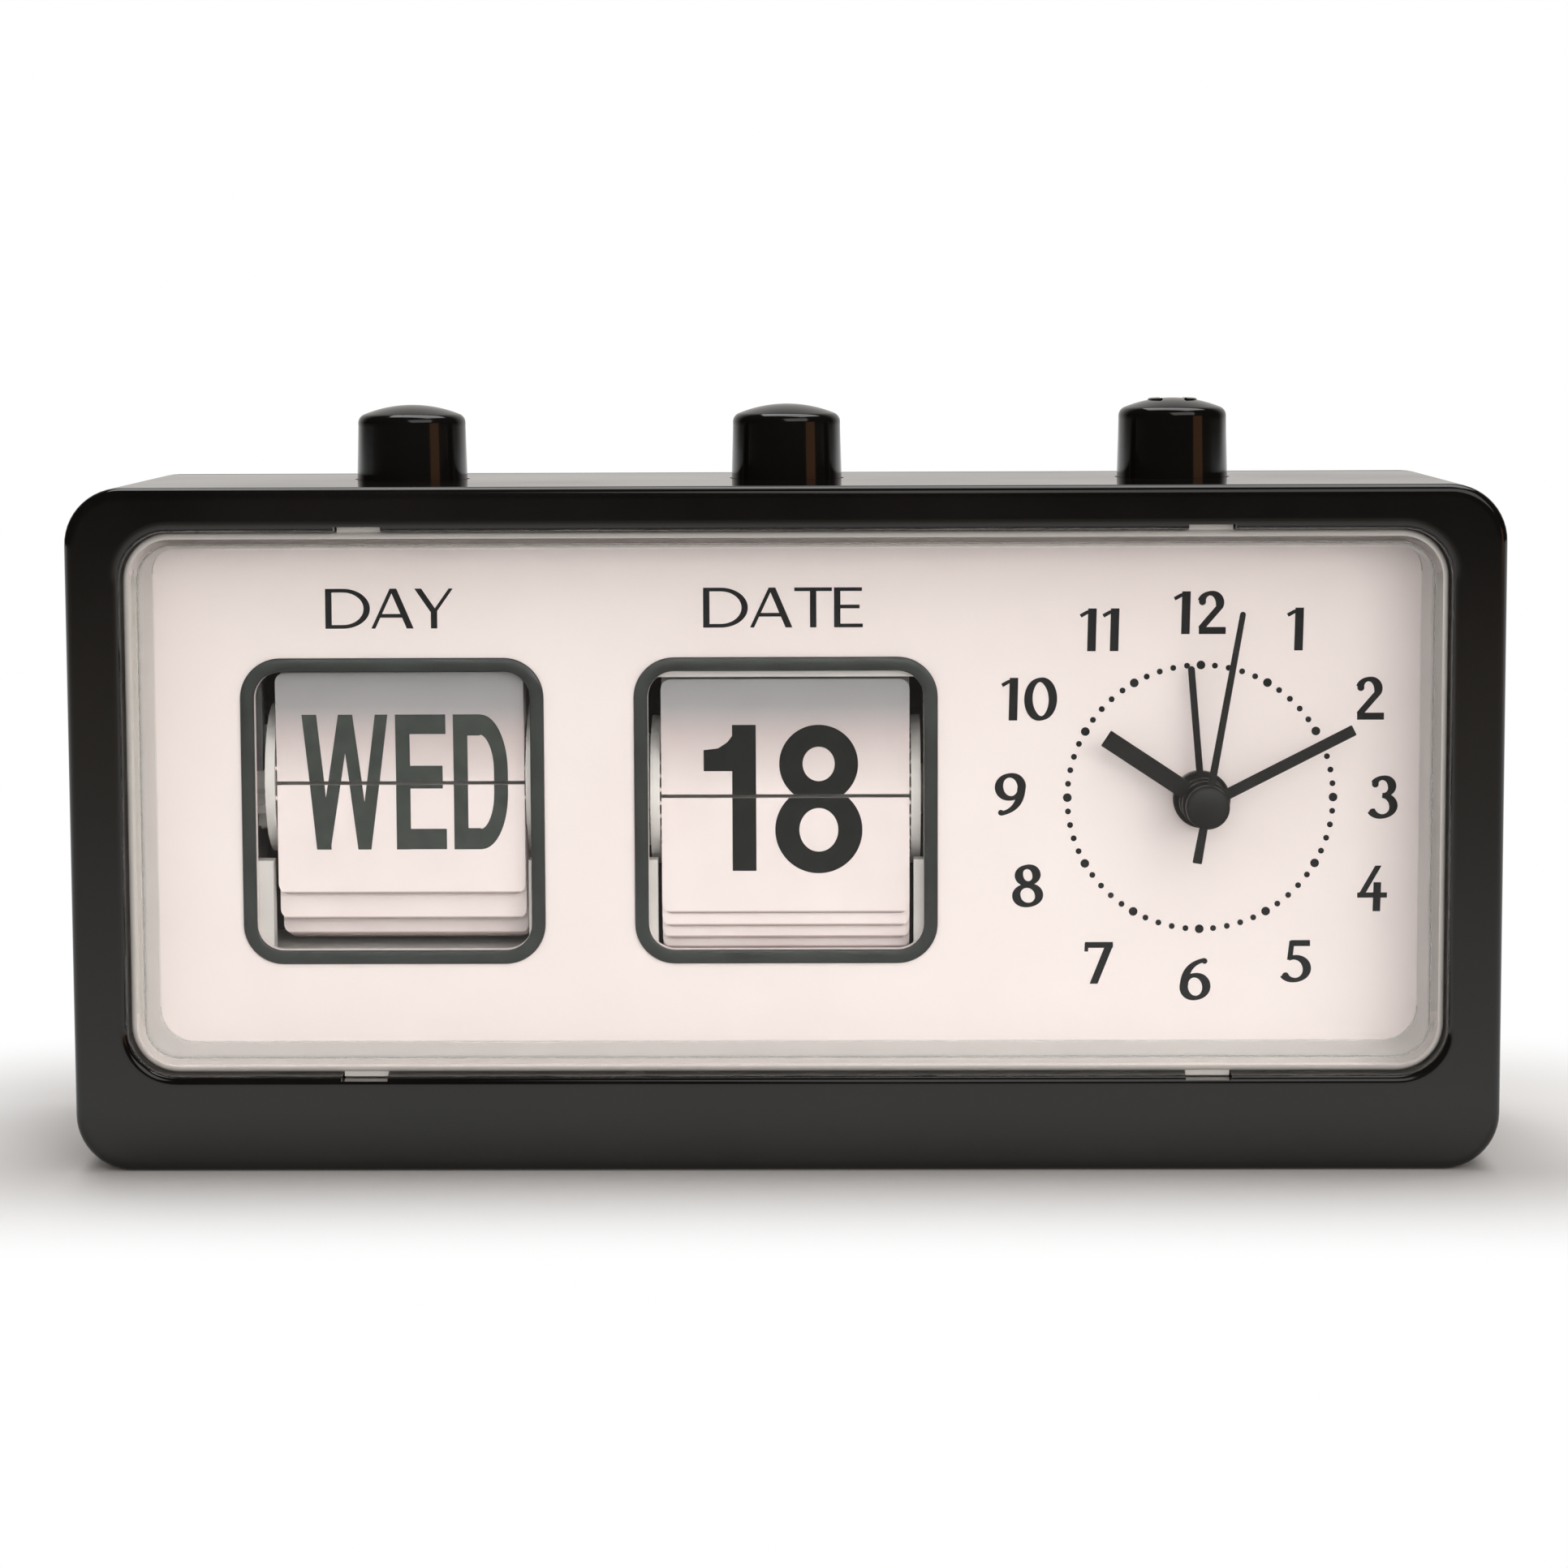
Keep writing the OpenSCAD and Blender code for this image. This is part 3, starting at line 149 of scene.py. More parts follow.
# %% Faces over a grid
def skin(grid, ring=False):
    """Quads between neighbouring rows of a grid whose columns close on themselves, and either one more
    band back to the first row, for a ring, or a flat cap on each end."""
    rows, columns = grid.shape[:2]
    row = np.arange(rows if ring else rows - 1)[:, None]
    column = np.arange(columns)[None, :]
    after, beside = (row + 1) % rows, (column + 1) % columns
    here, there = row * columns, after * columns
    corners = (here + column, here + beside, there + beside, there + column)
    faces = np.stack(corners, -1).reshape(-1, 4).tolist()
    if not ring:
        faces += [list(range(columns)), list(range((rows - 1) * columns, rows * columns))]
    return grid.reshape(-1, 3), faces


def outward(mesh):
    """Turn every face of a mesh outwards."""
    made = bmesh.new()
    made.from_mesh(mesh)
    bmesh.ops.recalc_face_normals(made, faces=made.faces)
    made.to_mesh(mesh)
    made.free()


def solid(name, shells):
    """One object of several closed shells, with every face turned outwards."""
    starts = np.cumsum([0] + [len(points) for points, _ in shells])
    faces = [[start + k for k in face] for start, (_, flat) in zip(starts, shells) for face in flat]
    mesh = bpy.data.meshes.new(name)
    mesh.from_pydata((np.concatenate([points for points, _ in shells]) + front) * MM, [], faces)
    outward(mesh)
    thing = bpy.data.objects.new(name, mesh)
    bpy.context.scene.collection.objects.link(thing)
    return thing


def carve(thing, shells, operation):
    """Cut other closed shells away from an object, or weld them on, and keep the result as its mesh."""
    tool = solid("tool", shells)
    step = thing.modifiers.new("carve", "BOOLEAN")
    step.operation = operation
    step.object = tool
    result = bpy.data.meshes.new_from_object(thing.evaluated_get(bpy.context.evaluated_depsgraph_get()))
    thing.modifiers.remove(step)
    result.name = thing.name
    thing.data = result
    bpy.data.objects.remove(tool)


def piece(thing, material, body, replaces=(), crease=28):
    """Finish an object as a piece of the clock: smooth up to the crease angle, one material, one body."""
    thing.data.materials.clear()
    thing.data.materials.append(material)
    thing.data.shade_smooth()
    thing.data.set_sharp_from_angle(angle=np.radians(crease))
    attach(thing, body)
    for node in replaces:
        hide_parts(node)
    print(thing.name, "on", body, len(thing.data.polygons), "faces")
    return thing


# %% [markdown]
# Finishes
#
# A moulded, printed or plated surface is never one flat colour: resin streaks, ink cover and polish vary a
# little. One recipe serves most of them. A broad noise mottles the colour and the polish, a fine texture
# lifts the grain, and both read Object coordinates, so that a pattern keeps its size in millimetres.


# %% Colour and node helpers
def linear(code):
    """An sRGB hex colour in linear light: each channel's sRGB curve undone, with alpha 1."""
    channel = np.array([int(code[k:k + 2], 16) for k in (1, 3, 5)]) / 255
    return (*np.where(channel <= 0.04045, channel / 12.92, ((channel + 0.055) / 1.055) ** 2.4), 1.0)


def add(tree, kind, settings=None, sockets=None, links=None):
    """One shader node with its settings, the values of its input sockets and the outputs linked into them."""
    made = tree.nodes.new("ShaderNode" + kind)
    for name, value in (settings or {}).items():
        setattr(made, name, value)
    for name, value in (sockets or {}).items():
        made.inputs[name].default_value = value
    for name, source in (links or {}).items():
        tree.links.new(source, made.inputs[name])
    return made


def ramp(tree, source, stops):
    """A colour ramp over a value, from (position, sRGB hex) stops."""
    made = add(tree, "ValToRGB", links={"Fac": source})
    for _ in stops[2:]:
        made.color_ramp.elements.new(0.5)
    for stop, (position, code) in zip(made.color_ramp.elements, stops):
        stop.position = position
        stop.color = linear(code)
    return made.outputs[0]


tint_low, tint_high = 0.35, 0.65
polish_low, polish_high = 0.3, 0.7


def finish(name, dark, light, mottle, grain, rough, lift, texture="TexNoise", shader=None):
    """A surface finish. Colour runs from dark to light and roughness between its two values over a noise of
    mottle millimetres; a finer texture of grain millimetres lifts the surface by lift millimetres."""
    material = bpy.data.materials.new(name)
    material.use_nodes = True
    tree = material.node_tree
    surface = tree.nodes["Principled BSDF"]
    place = add(tree, "TexCoord").outputs["Object"]
    broad = add(tree, "TexNoise", sockets={"Scale": 1 / (mottle * MM), "Detail": 3}, links={"Vector": place})
    fine = add(tree, texture, sockets={"Scale": 1 / (grain * MM)}, links={"Vector": place})
    tint = ramp(tree, broad.outputs[0], [(tint_low, dark), (tint_high, light)])
    spread = {"From Min": polish_low, "From Max": polish_high, "To Min": rough[0], "To Max": rough[1]}
    polish = add(tree, "MapRange", sockets=spread, links={"Value": broad.outputs[0]})
    relief = add(tree, "Bump", sockets={"Distance": lift * MM}, links={"Height": fine.outputs[0]})
    for socket, source in (("Base Color", tint), ("Roughness", polish.outputs[0]),
                           ("Normal", relief.outputs[0])):
        tree.links.new(source, surface.inputs[socket])
    for socket, value in (shader or {}).items():
        surface.inputs[socket].default_value = value
    return material


# %% [markdown]
# Black case plastic
#
# The case and the buttons are ABS moulded in polished steel. The eye sees a deep brown-black with sharp but
# slightly wavy reflections, from the sink and flow of the resin, so the noise is broad and the lift tiny.
# The rear cover has a spark-eroded mould instead, whose fine pits make it satin.

# %% Case and button finishes
abs_resin = {"IOR": 1.53}
gloss_abs = finish("polished_black_abs", "#0f0e0d", "#151413", mottle=30, grain=6, rough=(0.07, 0.13),
                   lift=0.006, shader=abs_resin)
satin_abs = finish("spark_eroded_black_abs", "#151413", "#1d1c1a", mottle=18, grain=0.5, rough=(0.42, 0.55),
                   lift=0.03, texture="TexVoronoi", shader=abs_resin)
knob_abs = finish("moulded_knob_abs", "#171716", "#201f1e", mottle=6, grain=0.6, rough=(0.3, 0.42),
                  lift=0.012, shader=abs_resin)
print("case finishes:", gloss_abs.name, satin_abs.name, knob_abs.name)

# %% [markdown]
# Case shell
#
# The front case is one moulding: outer wall, front face, and a tunnel behind the opening that the window
# snaps into. Extruding and bevelling would do, but carrying the wall's whole section round the outline
# gives every rounding at once. Holes for the buttons and notches for the window's tabs are cut afterwards.

# %% Case section and shell
wall = 2.2
corner_r = 7.0
edge_r = 1.1
opening_gap = 0.15
opening_r = 6.0
rim_r = 1.0
tunnel_t = 1.6
seam = 0.25
tab_h = 0.6
tab_w = 5.4
tab_x = 51.8
flat = 0.4
case_at = (0, body_h / 2)
lens_w = lens_high[0] - lens_low[0]
lens_h = lens_high[2] - lens_low[2] - 2 * tab_h
lens_at = (0, (lens_low[2] + lens_high[2]) / 2)
opening_w, opening_h = lens_w + 2 * opening_gap, lens_h + 2 * opening_gap

outer = np.concatenate([
    [(-wall, rear_d), (-seam - flat, rear_d), (-seam, rear_d), (0, rear_d - seam), (0, rear_d - seam - flat)],
    [(0, edge_r + flat)], arc((-edge_r, edge_r), (edge_r, edge_r), 0, -90), [(-edge_r - flat, 0)]])
tunnel = np.concatenate([
    [(rim_r + flat, 0)], arc((rim_r, rim_r), (rim_r, rim_r), -90, -180), [(0, rim_r + flat), (0, dial_d)],
    [(tunnel_t, dial_d), (tunnel_t, wall)]])
inside = [(-wall, wall)]
shell = np.concatenate([carried(outer, body_w, body_h, corner_r, case_at),
                        carried(tunnel, opening_w, opening_h, opening_r, lens_at),
                        carried(inside, body_w, body_h, corner_r, case_at)])
case = solid("case_shell", [skin(shell, ring=True)])
print("case section of", len(shell), "rows,", shell.shape[1], "columns")

# %% Screw bosses, button holes and tab notches
boss_r = 4.5
boss_bore = 1.3
boss_front = 19.9
screw_l = 12.0
bond = 0.2
boss_x = body_w / 2 - wall + bond - boss_r
boss_z = (wall - bond + boss_r, body_h - wall + bond - boss_r)
button_names = ("day_button", "date_button", "alarm_button")
button_at = [(low + high) / 2 for low, high in map(span, button_names)]
button_r = 7.0
hole_gap = 0.25
hole_r = button_r + hole_gap
boss_pole = 0.1
notch_d = 5.1
past = 1.0

screw_places = [(x, z) for x in (-boss_x, boss_x) for z in boss_z]
boss_section = [(boss_bore, rear_d), (boss_r, rear_d), (boss_r, boss_front), (boss_pole, boss_front),
                (boss_pole, rear_d - screw_l), (boss_bore, rear_d - screw_l)]
bosses = [turned(boss_section, (x, 0, z), "d", 32) for x, z in screw_places]
hole_section = [(hole_r, body_h - wall - past), (hole_r, body_h + past)]
holes = [turned(hole_section, (at[0], at[1], 0), "z") for at in button_at]
notch_half = tab_w / 2 + opening_gap
notch_z = (lens_at[1] - opening_h / 2, lens_at[1] + opening_h / 2)
notches = [block((x - notch_half, -past, z - tab_h), (x + notch_half, notch_d, z + tab_h))
           for x in (-tab_x, tab_x) for z in notch_z]
carve(case, [skin(grid, ring=True) for grid in bosses], "UNION")
carve(case, [skin(grid) for grid in holes + notches], "DIFFERENCE")
piece(case, gloss_abs, "root", ["front_case"])

# %% [markdown]
# Push buttons
#
# Each button is a round cap with a collar that stops under the top wall and a stem down to the push bar.
# A section turned round its axis gives collar, wall, shoulder and crown in one surface. The wall tapers a
# little for the mould. The alarm button carries two raised arcs on its crown, a plain sign for sound.

# %% Button caps
collar_r = 8.4
collar_t = 1.2
stem_r = 2.0
taper = 0.2
shoulder_r = 1.2
crown_tilt = 22
crown_end = 89.8
collar_gap = 0.1
pole = 0.05
ridge_drop = 0.27


def button_section(top, low):
    """Rows from the stem's end over the collar, the tapered wall and a round shoulder to the crown, a cap of
    a sphere whose radius lets it leave the shoulder at the shoulder's own slope."""
    collar_top = body_h - wall - collar_gap
    side_r = button_r - taper
    steep = 90 - crown_tilt
    crown_edge = side_r - shoulder_r + shoulder_r * np.cos(np.radians(steep))
    sphere_r = crown_edge / np.sin(np.radians(crown_tilt))
    dome = arc((0, top - sphere_r), (sphere_r, sphere_r), steep, crown_end, 16)
    shoulder_z = dome[0, 1] - shoulder_r * np.sin(np.radians(steep))
    shoulder = arc((side_r - shoulder_r, shoulder_z), (shoulder_r, shoulder_r), 0, steep, 12)
    return np.concatenate([
        [(pole, low), (stem_r, low), (stem_r, collar_top - collar_t), (collar_r, collar_top - collar_t)],
        [(collar_r, collar_top), (button_r, collar_top), (button_r, body_h), (side_r, shoulder_z - flat)],
        shoulder, dome[1:]])


def raised_arc(at, top, side, bend_r=2.7, half_w=0.42, rise=0.24, half_turn=55):
    """A ridge bent to a third of a circle: an oval section carried along the arc, half of it sunk."""
    turn = np.radians(np.linspace(-half_turn, half_turn, 20) + (0 if side > 0 else 180))[:, None]
    across = np.radians(np.linspace(0, 360, 12, endpoint=False))[None, :]
    reach = bend_r + half_w * np.cos(across)
    height = top - ridge_drop + rise * np.sin(across) + 0 * turn
    return np.stack([at[0] + reach * np.cos(turn), at[1] + reach * np.sin(turn), height], -1)


for name, at in zip(button_names, button_at):
    low, high = span(name)
    cap = solid(name + "_cap", [skin(turned(button_section(high[2], low[2]), (at[0], at[1], 0), "z"))])
    if name == "alarm_button":
        carve(cap, [skin(raised_arc(at, high[2], side)) for side in (-1, 1)], "UNION")
    piece(cap, gloss_abs, name.replace("_button", "_push"), [name])

# %% [markdown]
# Window lens
#
# The window is a clear tray: a flat front with a rounded edge and a wall that runs back to the dial, held by
# four snap tabs. Its section is carried round the opening and closed by the two flat faces. The finish is
# clear styrene, and light from the lamps passes straight through it, which keeps the dial evenly lit.

# %% Clear styrene
flow_size = 14
glare = "#909090"


def clear_resin(name, tint, ior, rough, clear=1.0):
    """A clear moulding: refracting for the eye, and open to rays that ask for lamps. The share that isn't
    clear scatters light at the surface. The glare colour dims what the window mirrors of the room."""
    material = bpy.data.materials.new(name)
    material.use_nodes = True
    tree = material.node_tree
    surface = tree.nodes["Principled BSDF"]
    for socket, value in (("Base Color", linear(tint)), ("IOR", ior), ("Transmission Weight", clear),
                          ("Specular Tint", linear(glare))):
        surface.inputs[socket].default_value = value
    place = add(tree, "TexCoord").outputs["Object"]
    flow = add(tree, "TexNoise", sockets={"Scale": 1 / (flow_size * MM)}, links={"Vector": place})
    polish = add(tree, "MapRange", sockets={"To Min": rough[0], "To Max": rough[1]},
                 links={"Value": flow.outputs[0]})
    tree.links.new(polish.outputs[0], surface.inputs["Roughness"])
    path = add(tree, "LightPath")
    open_way = add(tree, "BsdfTransparent")
    both = add(tree, "MixShader", links={0: path.outputs["Is Shadow Ray"], 1: surface.outputs[0],
                                         2: open_way.outputs[0]})
    tree.links.new(both.outputs[0], tree.nodes["Material Output"].inputs["Surface"])
    return material


styrene = clear_resin("clear_styrene", "#fbfdfd", 1.55, (0.0, 0.012))
wall_styrene = clear_resin("mould_matt_styrene", "#f4f2ee", 1.55, (0.2, 0.3), 0.2)
print("window finishes:", styrene.name, wall_styrene.name)

# %% Lens tray
lens_r = opening_r - opening_gap
lens_front = lens_low[1]
lens_t = 2.0
lens_wall = 1.5
lens_edge_r = 1.2
lens_fillet = 0.5
lens_gap = 0.05
matt_band = 0.75
tray = np.concatenate([
    [(-lens_edge_r - flat, lens_front)],
    arc((-lens_edge_r, lens_front + lens_edge_r), (lens_edge_r, lens_edge_r), -90, 0),
    [(0, lens_front + lens_edge_r + flat), (0, dial_d - lens_gap), (-lens_wall, dial_d - lens_gap)],
    [(-lens_wall, lens_front + lens_t + lens_fillet + flat)],
    arc((-lens_wall - lens_fillet, lens_front + lens_t + lens_fillet), (lens_fillet, lens_fillet), 0, -90, 6),
    [(-lens_wall - lens_fillet - flat, lens_front + lens_t)]])
lens = solid("lens_tray", [skin(carried(tray, lens_w, lens_h, lens_r, lens_at))])
tab_front, tab_back = 3.0, 4.8
lens_foot, lens_top = lens_at[1] - lens_h / 2, lens_at[1] + lens_h / 2
tab_spans = ((lens_foot - tab_h, lens_foot + bond / 2), (lens_top - bond / 2, lens_top + tab_h))
tabs = [block((x - tab_w / 2, tab_front, low), (x + tab_w / 2, tab_back, high))
        for x in (-tab_x, tab_x) for low, high in tab_spans]
carve(lens, [skin(grid) for grid in tabs], "UNION")
piece(lens, styrene, "root", ["window_lens"])

# Faces near the tray's outer wall take the matt finish: inward is their distance from that wall.
centres = np.empty(len(lens.data.polygons) * 3)
lens.data.polygons.foreach_get("center", centres)
centres = centres.reshape(-1, 3) / MM - front
corner = np.abs(centres[:, [0, 2]] - lens_at) - (lens_w / 2 - lens_r, lens_h / 2 - lens_r)
inward = lens_r - np.hypot(*np.maximum(corner, 0).T) - np.minimum(corner.max(1), 0)
lens.data.materials.append(wall_styrene)
lens.data.polygons.foreach_set("material_index", (inward < matt_band).astype(np.int32))

# %% [markdown]
# Dial, leaves and window bands
#
# The dial is a white printed sheet with a matt lacquer, and the leaves are rolled white vinyl with a faint
# streak. Their solids from the frame are right, so they only get finishes. The upright leaves get a painted
# shade that greys their faces upwards, in place of the shadow of the case and the window's top edge. Each
# hanging leaf gets a painted shadow, a grey line along its lower edge. Each window has a raised dark band,
# whose section is carried round it.

# %% White sheets
dial_sheet = finish("matt_printed_styrene_sheet", "#f3e6e4", "#f8ecea", mottle=40, grain=0.35,
                    rough=(0.5, 0.62), lift=0.004, shader={"IOR": 1.55})


def vinyl(name):
    """The finish of every leaf: rolled white vinyl."""
    return finish(name, "#f1e3e1", "#f6e9e7", mottle=9, grain=0.5, rough=(0.38, 0.48), lift=0.004,
                  shader={"IOR": 1.53})


def painted_shade_by_height(material, low, high, stops, face=None):
    """A finish with painted shade: its colour is multiplied by a ramp over the height from low to high
    millimetres. With a face, a point and the direction out of it, only that side of the plane through the
    point gets the painted shade."""
    tree = material.node_tree
    colour = tree.nodes["Principled BSDF"].inputs["Base Color"]
    place = add(tree, "TexCoord").outputs["Object"]
    height = add(tree, "SeparateXYZ", links={0: place}).outputs["Z"]
    share = add(tree, "MapRange", sockets={"From Min": low * MM, "From Max": high * MM},
                links={"Value": height})
    shade = ramp(tree, share.outputs[0], stops)
    mix = add(tree, "Mix", {"data_type": "RGBA", "blend_type": "MULTIPLY"}, {0: 1.0},
              {6: colour.links[0].from_socket, 7: shade})
    if face is not None:
        at, out = face
        ahead = add(tree, "VectorMath", {"operation": "DOT_PRODUCT"}, {1: out}, {0: place})
        plane = float(np.dot((at + front) * MM, out))
        shown = add(tree, "Math", {"operation": "GREATER_THAN"}, {1: plane}, {0: ahead.outputs["Value"]})
        tree.links.new(shown.outputs[0], mix.inputs[0])
    tree.links.new(mix.outputs[2], colour)
    return material


lean = np.radians(3.5)
leaf_out = np.array([0, -np.cos(lean), -np.sin(lean)])
# Painted shade: the upright leaves grey towards their upper end, standing in for the shadow that the case and
# the window's top edge cast on them.
painted_shade_low, painted_shade_high = 45, 60
painted_upper_shade = [(0.0, "#ffffff"), (0.45, "#d8d5d5"), (0.72, "#a9b0b3"), (1.0, "#98a1a4")]
# Painted shadow: a grey line along the lower edge of each hanging leaf stands in for the shadow at that edge.
edge_shadow_h = 0.35
painted_edge_shadow = [(0.0, "#8d8380"), (0.5, "#b9afac"), (1.0, "#ffffff")]
leaf_vinyl = vinyl("rolled_white_vinyl")
rising_vinyl_painted_shade = painted_shade_by_height(vinyl("single_leaves_vinyl_painted_shade"), painted_shade_low, painted_shade_high, painted_upper_shade)
flip_vinyl_painted_shade = {name: painted_shade_by_height(vinyl("flip_leaf_vinyl_painted_shade_" + name), painted_shade_low, painted_shade_high, painted_upper_shade,
                              (pivot(name + "_flip_fall"), leaf_out)) for name in ("day", "date")}
edge_shadow_vinyl = {}
for node in frame["nodes"]:
    if "hanging_leaf_" in node:
        edge_z = span(node)[0][2]
        edge_shadow_vinyl[node] = painted_shade_by_height(vinyl("vinyl_painted_edge_shadow_" + node), edge_z, edge_z + edge_shadow_h, painted_edge_shadow)
print("leaves:", leaf_vinyl.name, rising_vinyl_painted_shade.name, len(flip_vinyl_painted_shade), "flip and", len(edge_shadow_vinyl), "hanging")

# %% Enamel and inks
ink_resin = {"IOR": 1.5, "Specular IOR Level": 0.25}


def printed(name, dark, light, mottle, grain):
    """A matt printing ink: the streaks of the squeegee mottle it, and it mirrors very little."""
    return finish(name, dark, light, mottle, grain, rough=(0.5, 0.65), lift=0.004, shader=ink_resin)


band_paint = finish("satin_grey_enamel", "#1d211f", "#282d2a", mottle=7, grain=0.3, rough=(0.3, 0.42),
                    lift=0.003, shader={"IOR": 1.5})
ink = printed("screen_printed_ink", "#0f1112", "#171a1b", mottle=1.2, grain=0.12)
leaf_ink = printed("leaf_printing_ink", "#393e3b", "#444945", mottle=2.0, grain=0.15)
date_ink = printed("date_printing_ink", "#121413", "#1a1c1a", mottle=2.0, grain=0.15)
print("paint and inks:", band_paint.name, ink.name, leaf_ink.name, date_ink.name)

# %% Window bands
window_w, window_h, window_r = 34.6, 35.2, 3.3
window_z = 42.65
window_x = {"day": -49.5, "date": -0.1}
band_w = 1.75
band_t = 0.5
band_edge = 0.2
band_inset = 0.02
glue_t = 0.01
bend_d = dial_d - band_t + band_edge
band_section = np.concatenate([
    [(band_w, dial_d - glue_t), (band_w, bend_d)],
    arc((band_w - band_edge, bend_d), (band_edge, band_edge), 0, -90, 5),
    arc((band_inset + band_edge, bend_d), (band_edge, band_edge), -90, -180, 5),
    [(band_inset, dial_d - glue_t)]])
for name, x in window_x.items():
    band = carried(band_section, window_w, window_h, window_r, (x, window_z))
    piece(solid(name + "_window_band", [skin(band, ring=True)]), band_paint, "root")

# %% [markdown]
# Lettering as pen strokes
#
# All printing is drawn afresh from pen strokes: a path, and a flat oval nib that is wide for uprights and
# thin for level strokes. A stroke is the path moved to both sides along its normals by the nib's reach in
# that direction. Straight legs are cut level at their ends, as in sign lettering.


# %% Strokes
def leg(x0, z0, x1, z1, width):
    """A straight stroke with level ends: the centre line moved left and right by half its level width."""
    line = np.array([(x0, z0), (x1, z1)])
    return line - (width / 2, 0), line + (width / 2, 0)


def bar(x0, x1, z, height):
    """A level stroke: its centre line moved down and up by half its height."""
    line = np.array([(x0, z), (x1, z)])
    return line - (0, height / 2), line + (0, height / 2)


def drawn(path, wide, thin, slant=0):
    """A nib stroke: the path moved along its normals by the reach of an oval nib, the square root of the
    summed squares of the normal's two parts times the nib's half-axes."""
    path = np.array(path, float)
    run = np.gradient(path, axis=0)
    if np.allclose(path[0], path[-1]):
        run[0] = run[-1] = path[1] - path[-2]
    run /= np.linalg.norm(run, axis=1)[:, None]
    normal = np.stack([-run[:, 1], run[:, 0]], -1)
    tilt = np.radians(slant)
    level = normal @ (np.cos(tilt), np.sin(tilt))
    upright = normal @ (-np.sin(tilt), np.cos(tilt))
    reach = np.sqrt((wide / 2 * level) ** 2 + (thin / 2 * upright) ** 2)[:, None]
    return path - normal * reach, path + normal * reach


def ball(x, z, radius):
    """A round stop: the left and right halves of a circle."""
    rim = arc((0, 0), (radius, radius), -86, 86, 14)
    return rim * (-1, 1) + (x, z), rim + (x, z)


def moved(strokes, x, z, scale=1.0):
    """Strokes scaled about their own origin and shifted to a place."""
    return [(left * scale + (x, z), right * scale + (x, z)) for left, right in strokes]


# %% Letters of the dial words
cap_h = 5.0
stem = 0.8
thin = 0.46


def bowl(x0, x1, z0, z1, wide, narrow, corner, share=0.5):
    """A D's bow: level from the stem, round two corners that each take a share of its height, and level
    back. Corners of half the height each meet in one point, which is kept once."""
    high, low = z1 - narrow / 2, z0 + narrow / 2
    rise = (high - low) * share
    turn_x = x1 - wide / 2 - corner
    upper = arc((turn_x, high - rise), (corner, rise), 90, 0, 16)
    lower = arc((turn_x, low + rise), (corner, rise), 0, -90, 16)
    first = 1 if share == 0.5 else 0
    return drawn(np.concatenate([[(x0, high)], upper, lower[first:], [(x0, low)]]), wide, narrow)


WORD_LETTERS = {
    "D": (5.6, [leg(stem / 2, 0, stem / 2, cap_h, stem), bowl(0.3, 5.6, 0, cap_h, stem, thin, 3.0)]),
    "A": (5.3, [leg(0.25, 0, 2.6, cap_h, 0.5), leg(2.75, cap_h, 4.88, 0, 0.86), bar(1.0, 4.2, 1.6, thin)]),
    "Y": (4.8, [leg(0.42, cap_h, 2.4, 2.1, 0.86), leg(4.55, cap_h, 2.5, 2.1, 0.52),
                leg(2.42, 2.4, 2.42, 0, stem)]),
    "T": (4.7, [bar(0, 4.7, cap_h - thin / 2, thin), leg(2.35, cap_h - 0.1, 2.35, 0, stem)]),
    "E": (3.6, [leg(stem / 2, 0, stem / 2, cap_h, stem), bar(0.3, 3.5, cap_h - thin / 2, thin),
                bar(0.3, 3.2, 2.6, thin), bar(0.3, 3.6, thin / 2, thin)]),
    "I": (0.8, [leg(stem / 2, 0, stem / 2, cap_h, stem)]),
    "L": (3.4, [leg(stem / 2, 0, stem / 2, cap_h, stem), bar(0.3, 3.4, thin / 2, thin)]),
    "M": (6.4, [leg(0.4, 0, 0.4, cap_h, stem), leg(0.6, cap_h, 3.2, 0.4, stem),
                leg(5.8, cap_h, 3.2, 0.4, stem), leg(6.0, 0, 6.0, cap_h, stem)]),
    "R": (4.4, [leg(stem / 2, 0, stem / 2, cap_h, stem), bowl(0.3, 4.0, 2.2, cap_h, stem, thin, 1.4),
                leg(2.0, 2.4, 4.0, 0, stem)]),
}


def word(letters, alphabet, x0, x1, z):
    """Letters side by side from x0 to x1, the spare width shared between them."""
    widths = [alphabet[letter][0] for letter in letters]
    gap = (x1 - x0 - sum(widths)) / (len(letters) - 1)
    starts = x0 + np.cumsum([0] + widths[:-1]) + gap * np.arange(len(letters))
    return [stroke for letter, start in zip(letters, starts)
            for stroke in moved(alphabet[letter][1], start, z)]


# %% Numerals of the dial
WIDE, THIN, SLANT = 1.02, 0.52, 12
numeral_h = 5.1


def curl(points, count=24):
    """A smooth path through three control points: the two blends between them, blended again."""
    a, b, c = np.array(points, float)
    t = np.linspace(0, 1, count)[:, None]
    return (1 - t) ** 2 * a + 2 * t * (1 - t) * b + t ** 2 * c


def nib(path):
    """A stroke of the dial's numeral pen."""
    return drawn(path, WIDE, THIN, SLANT)


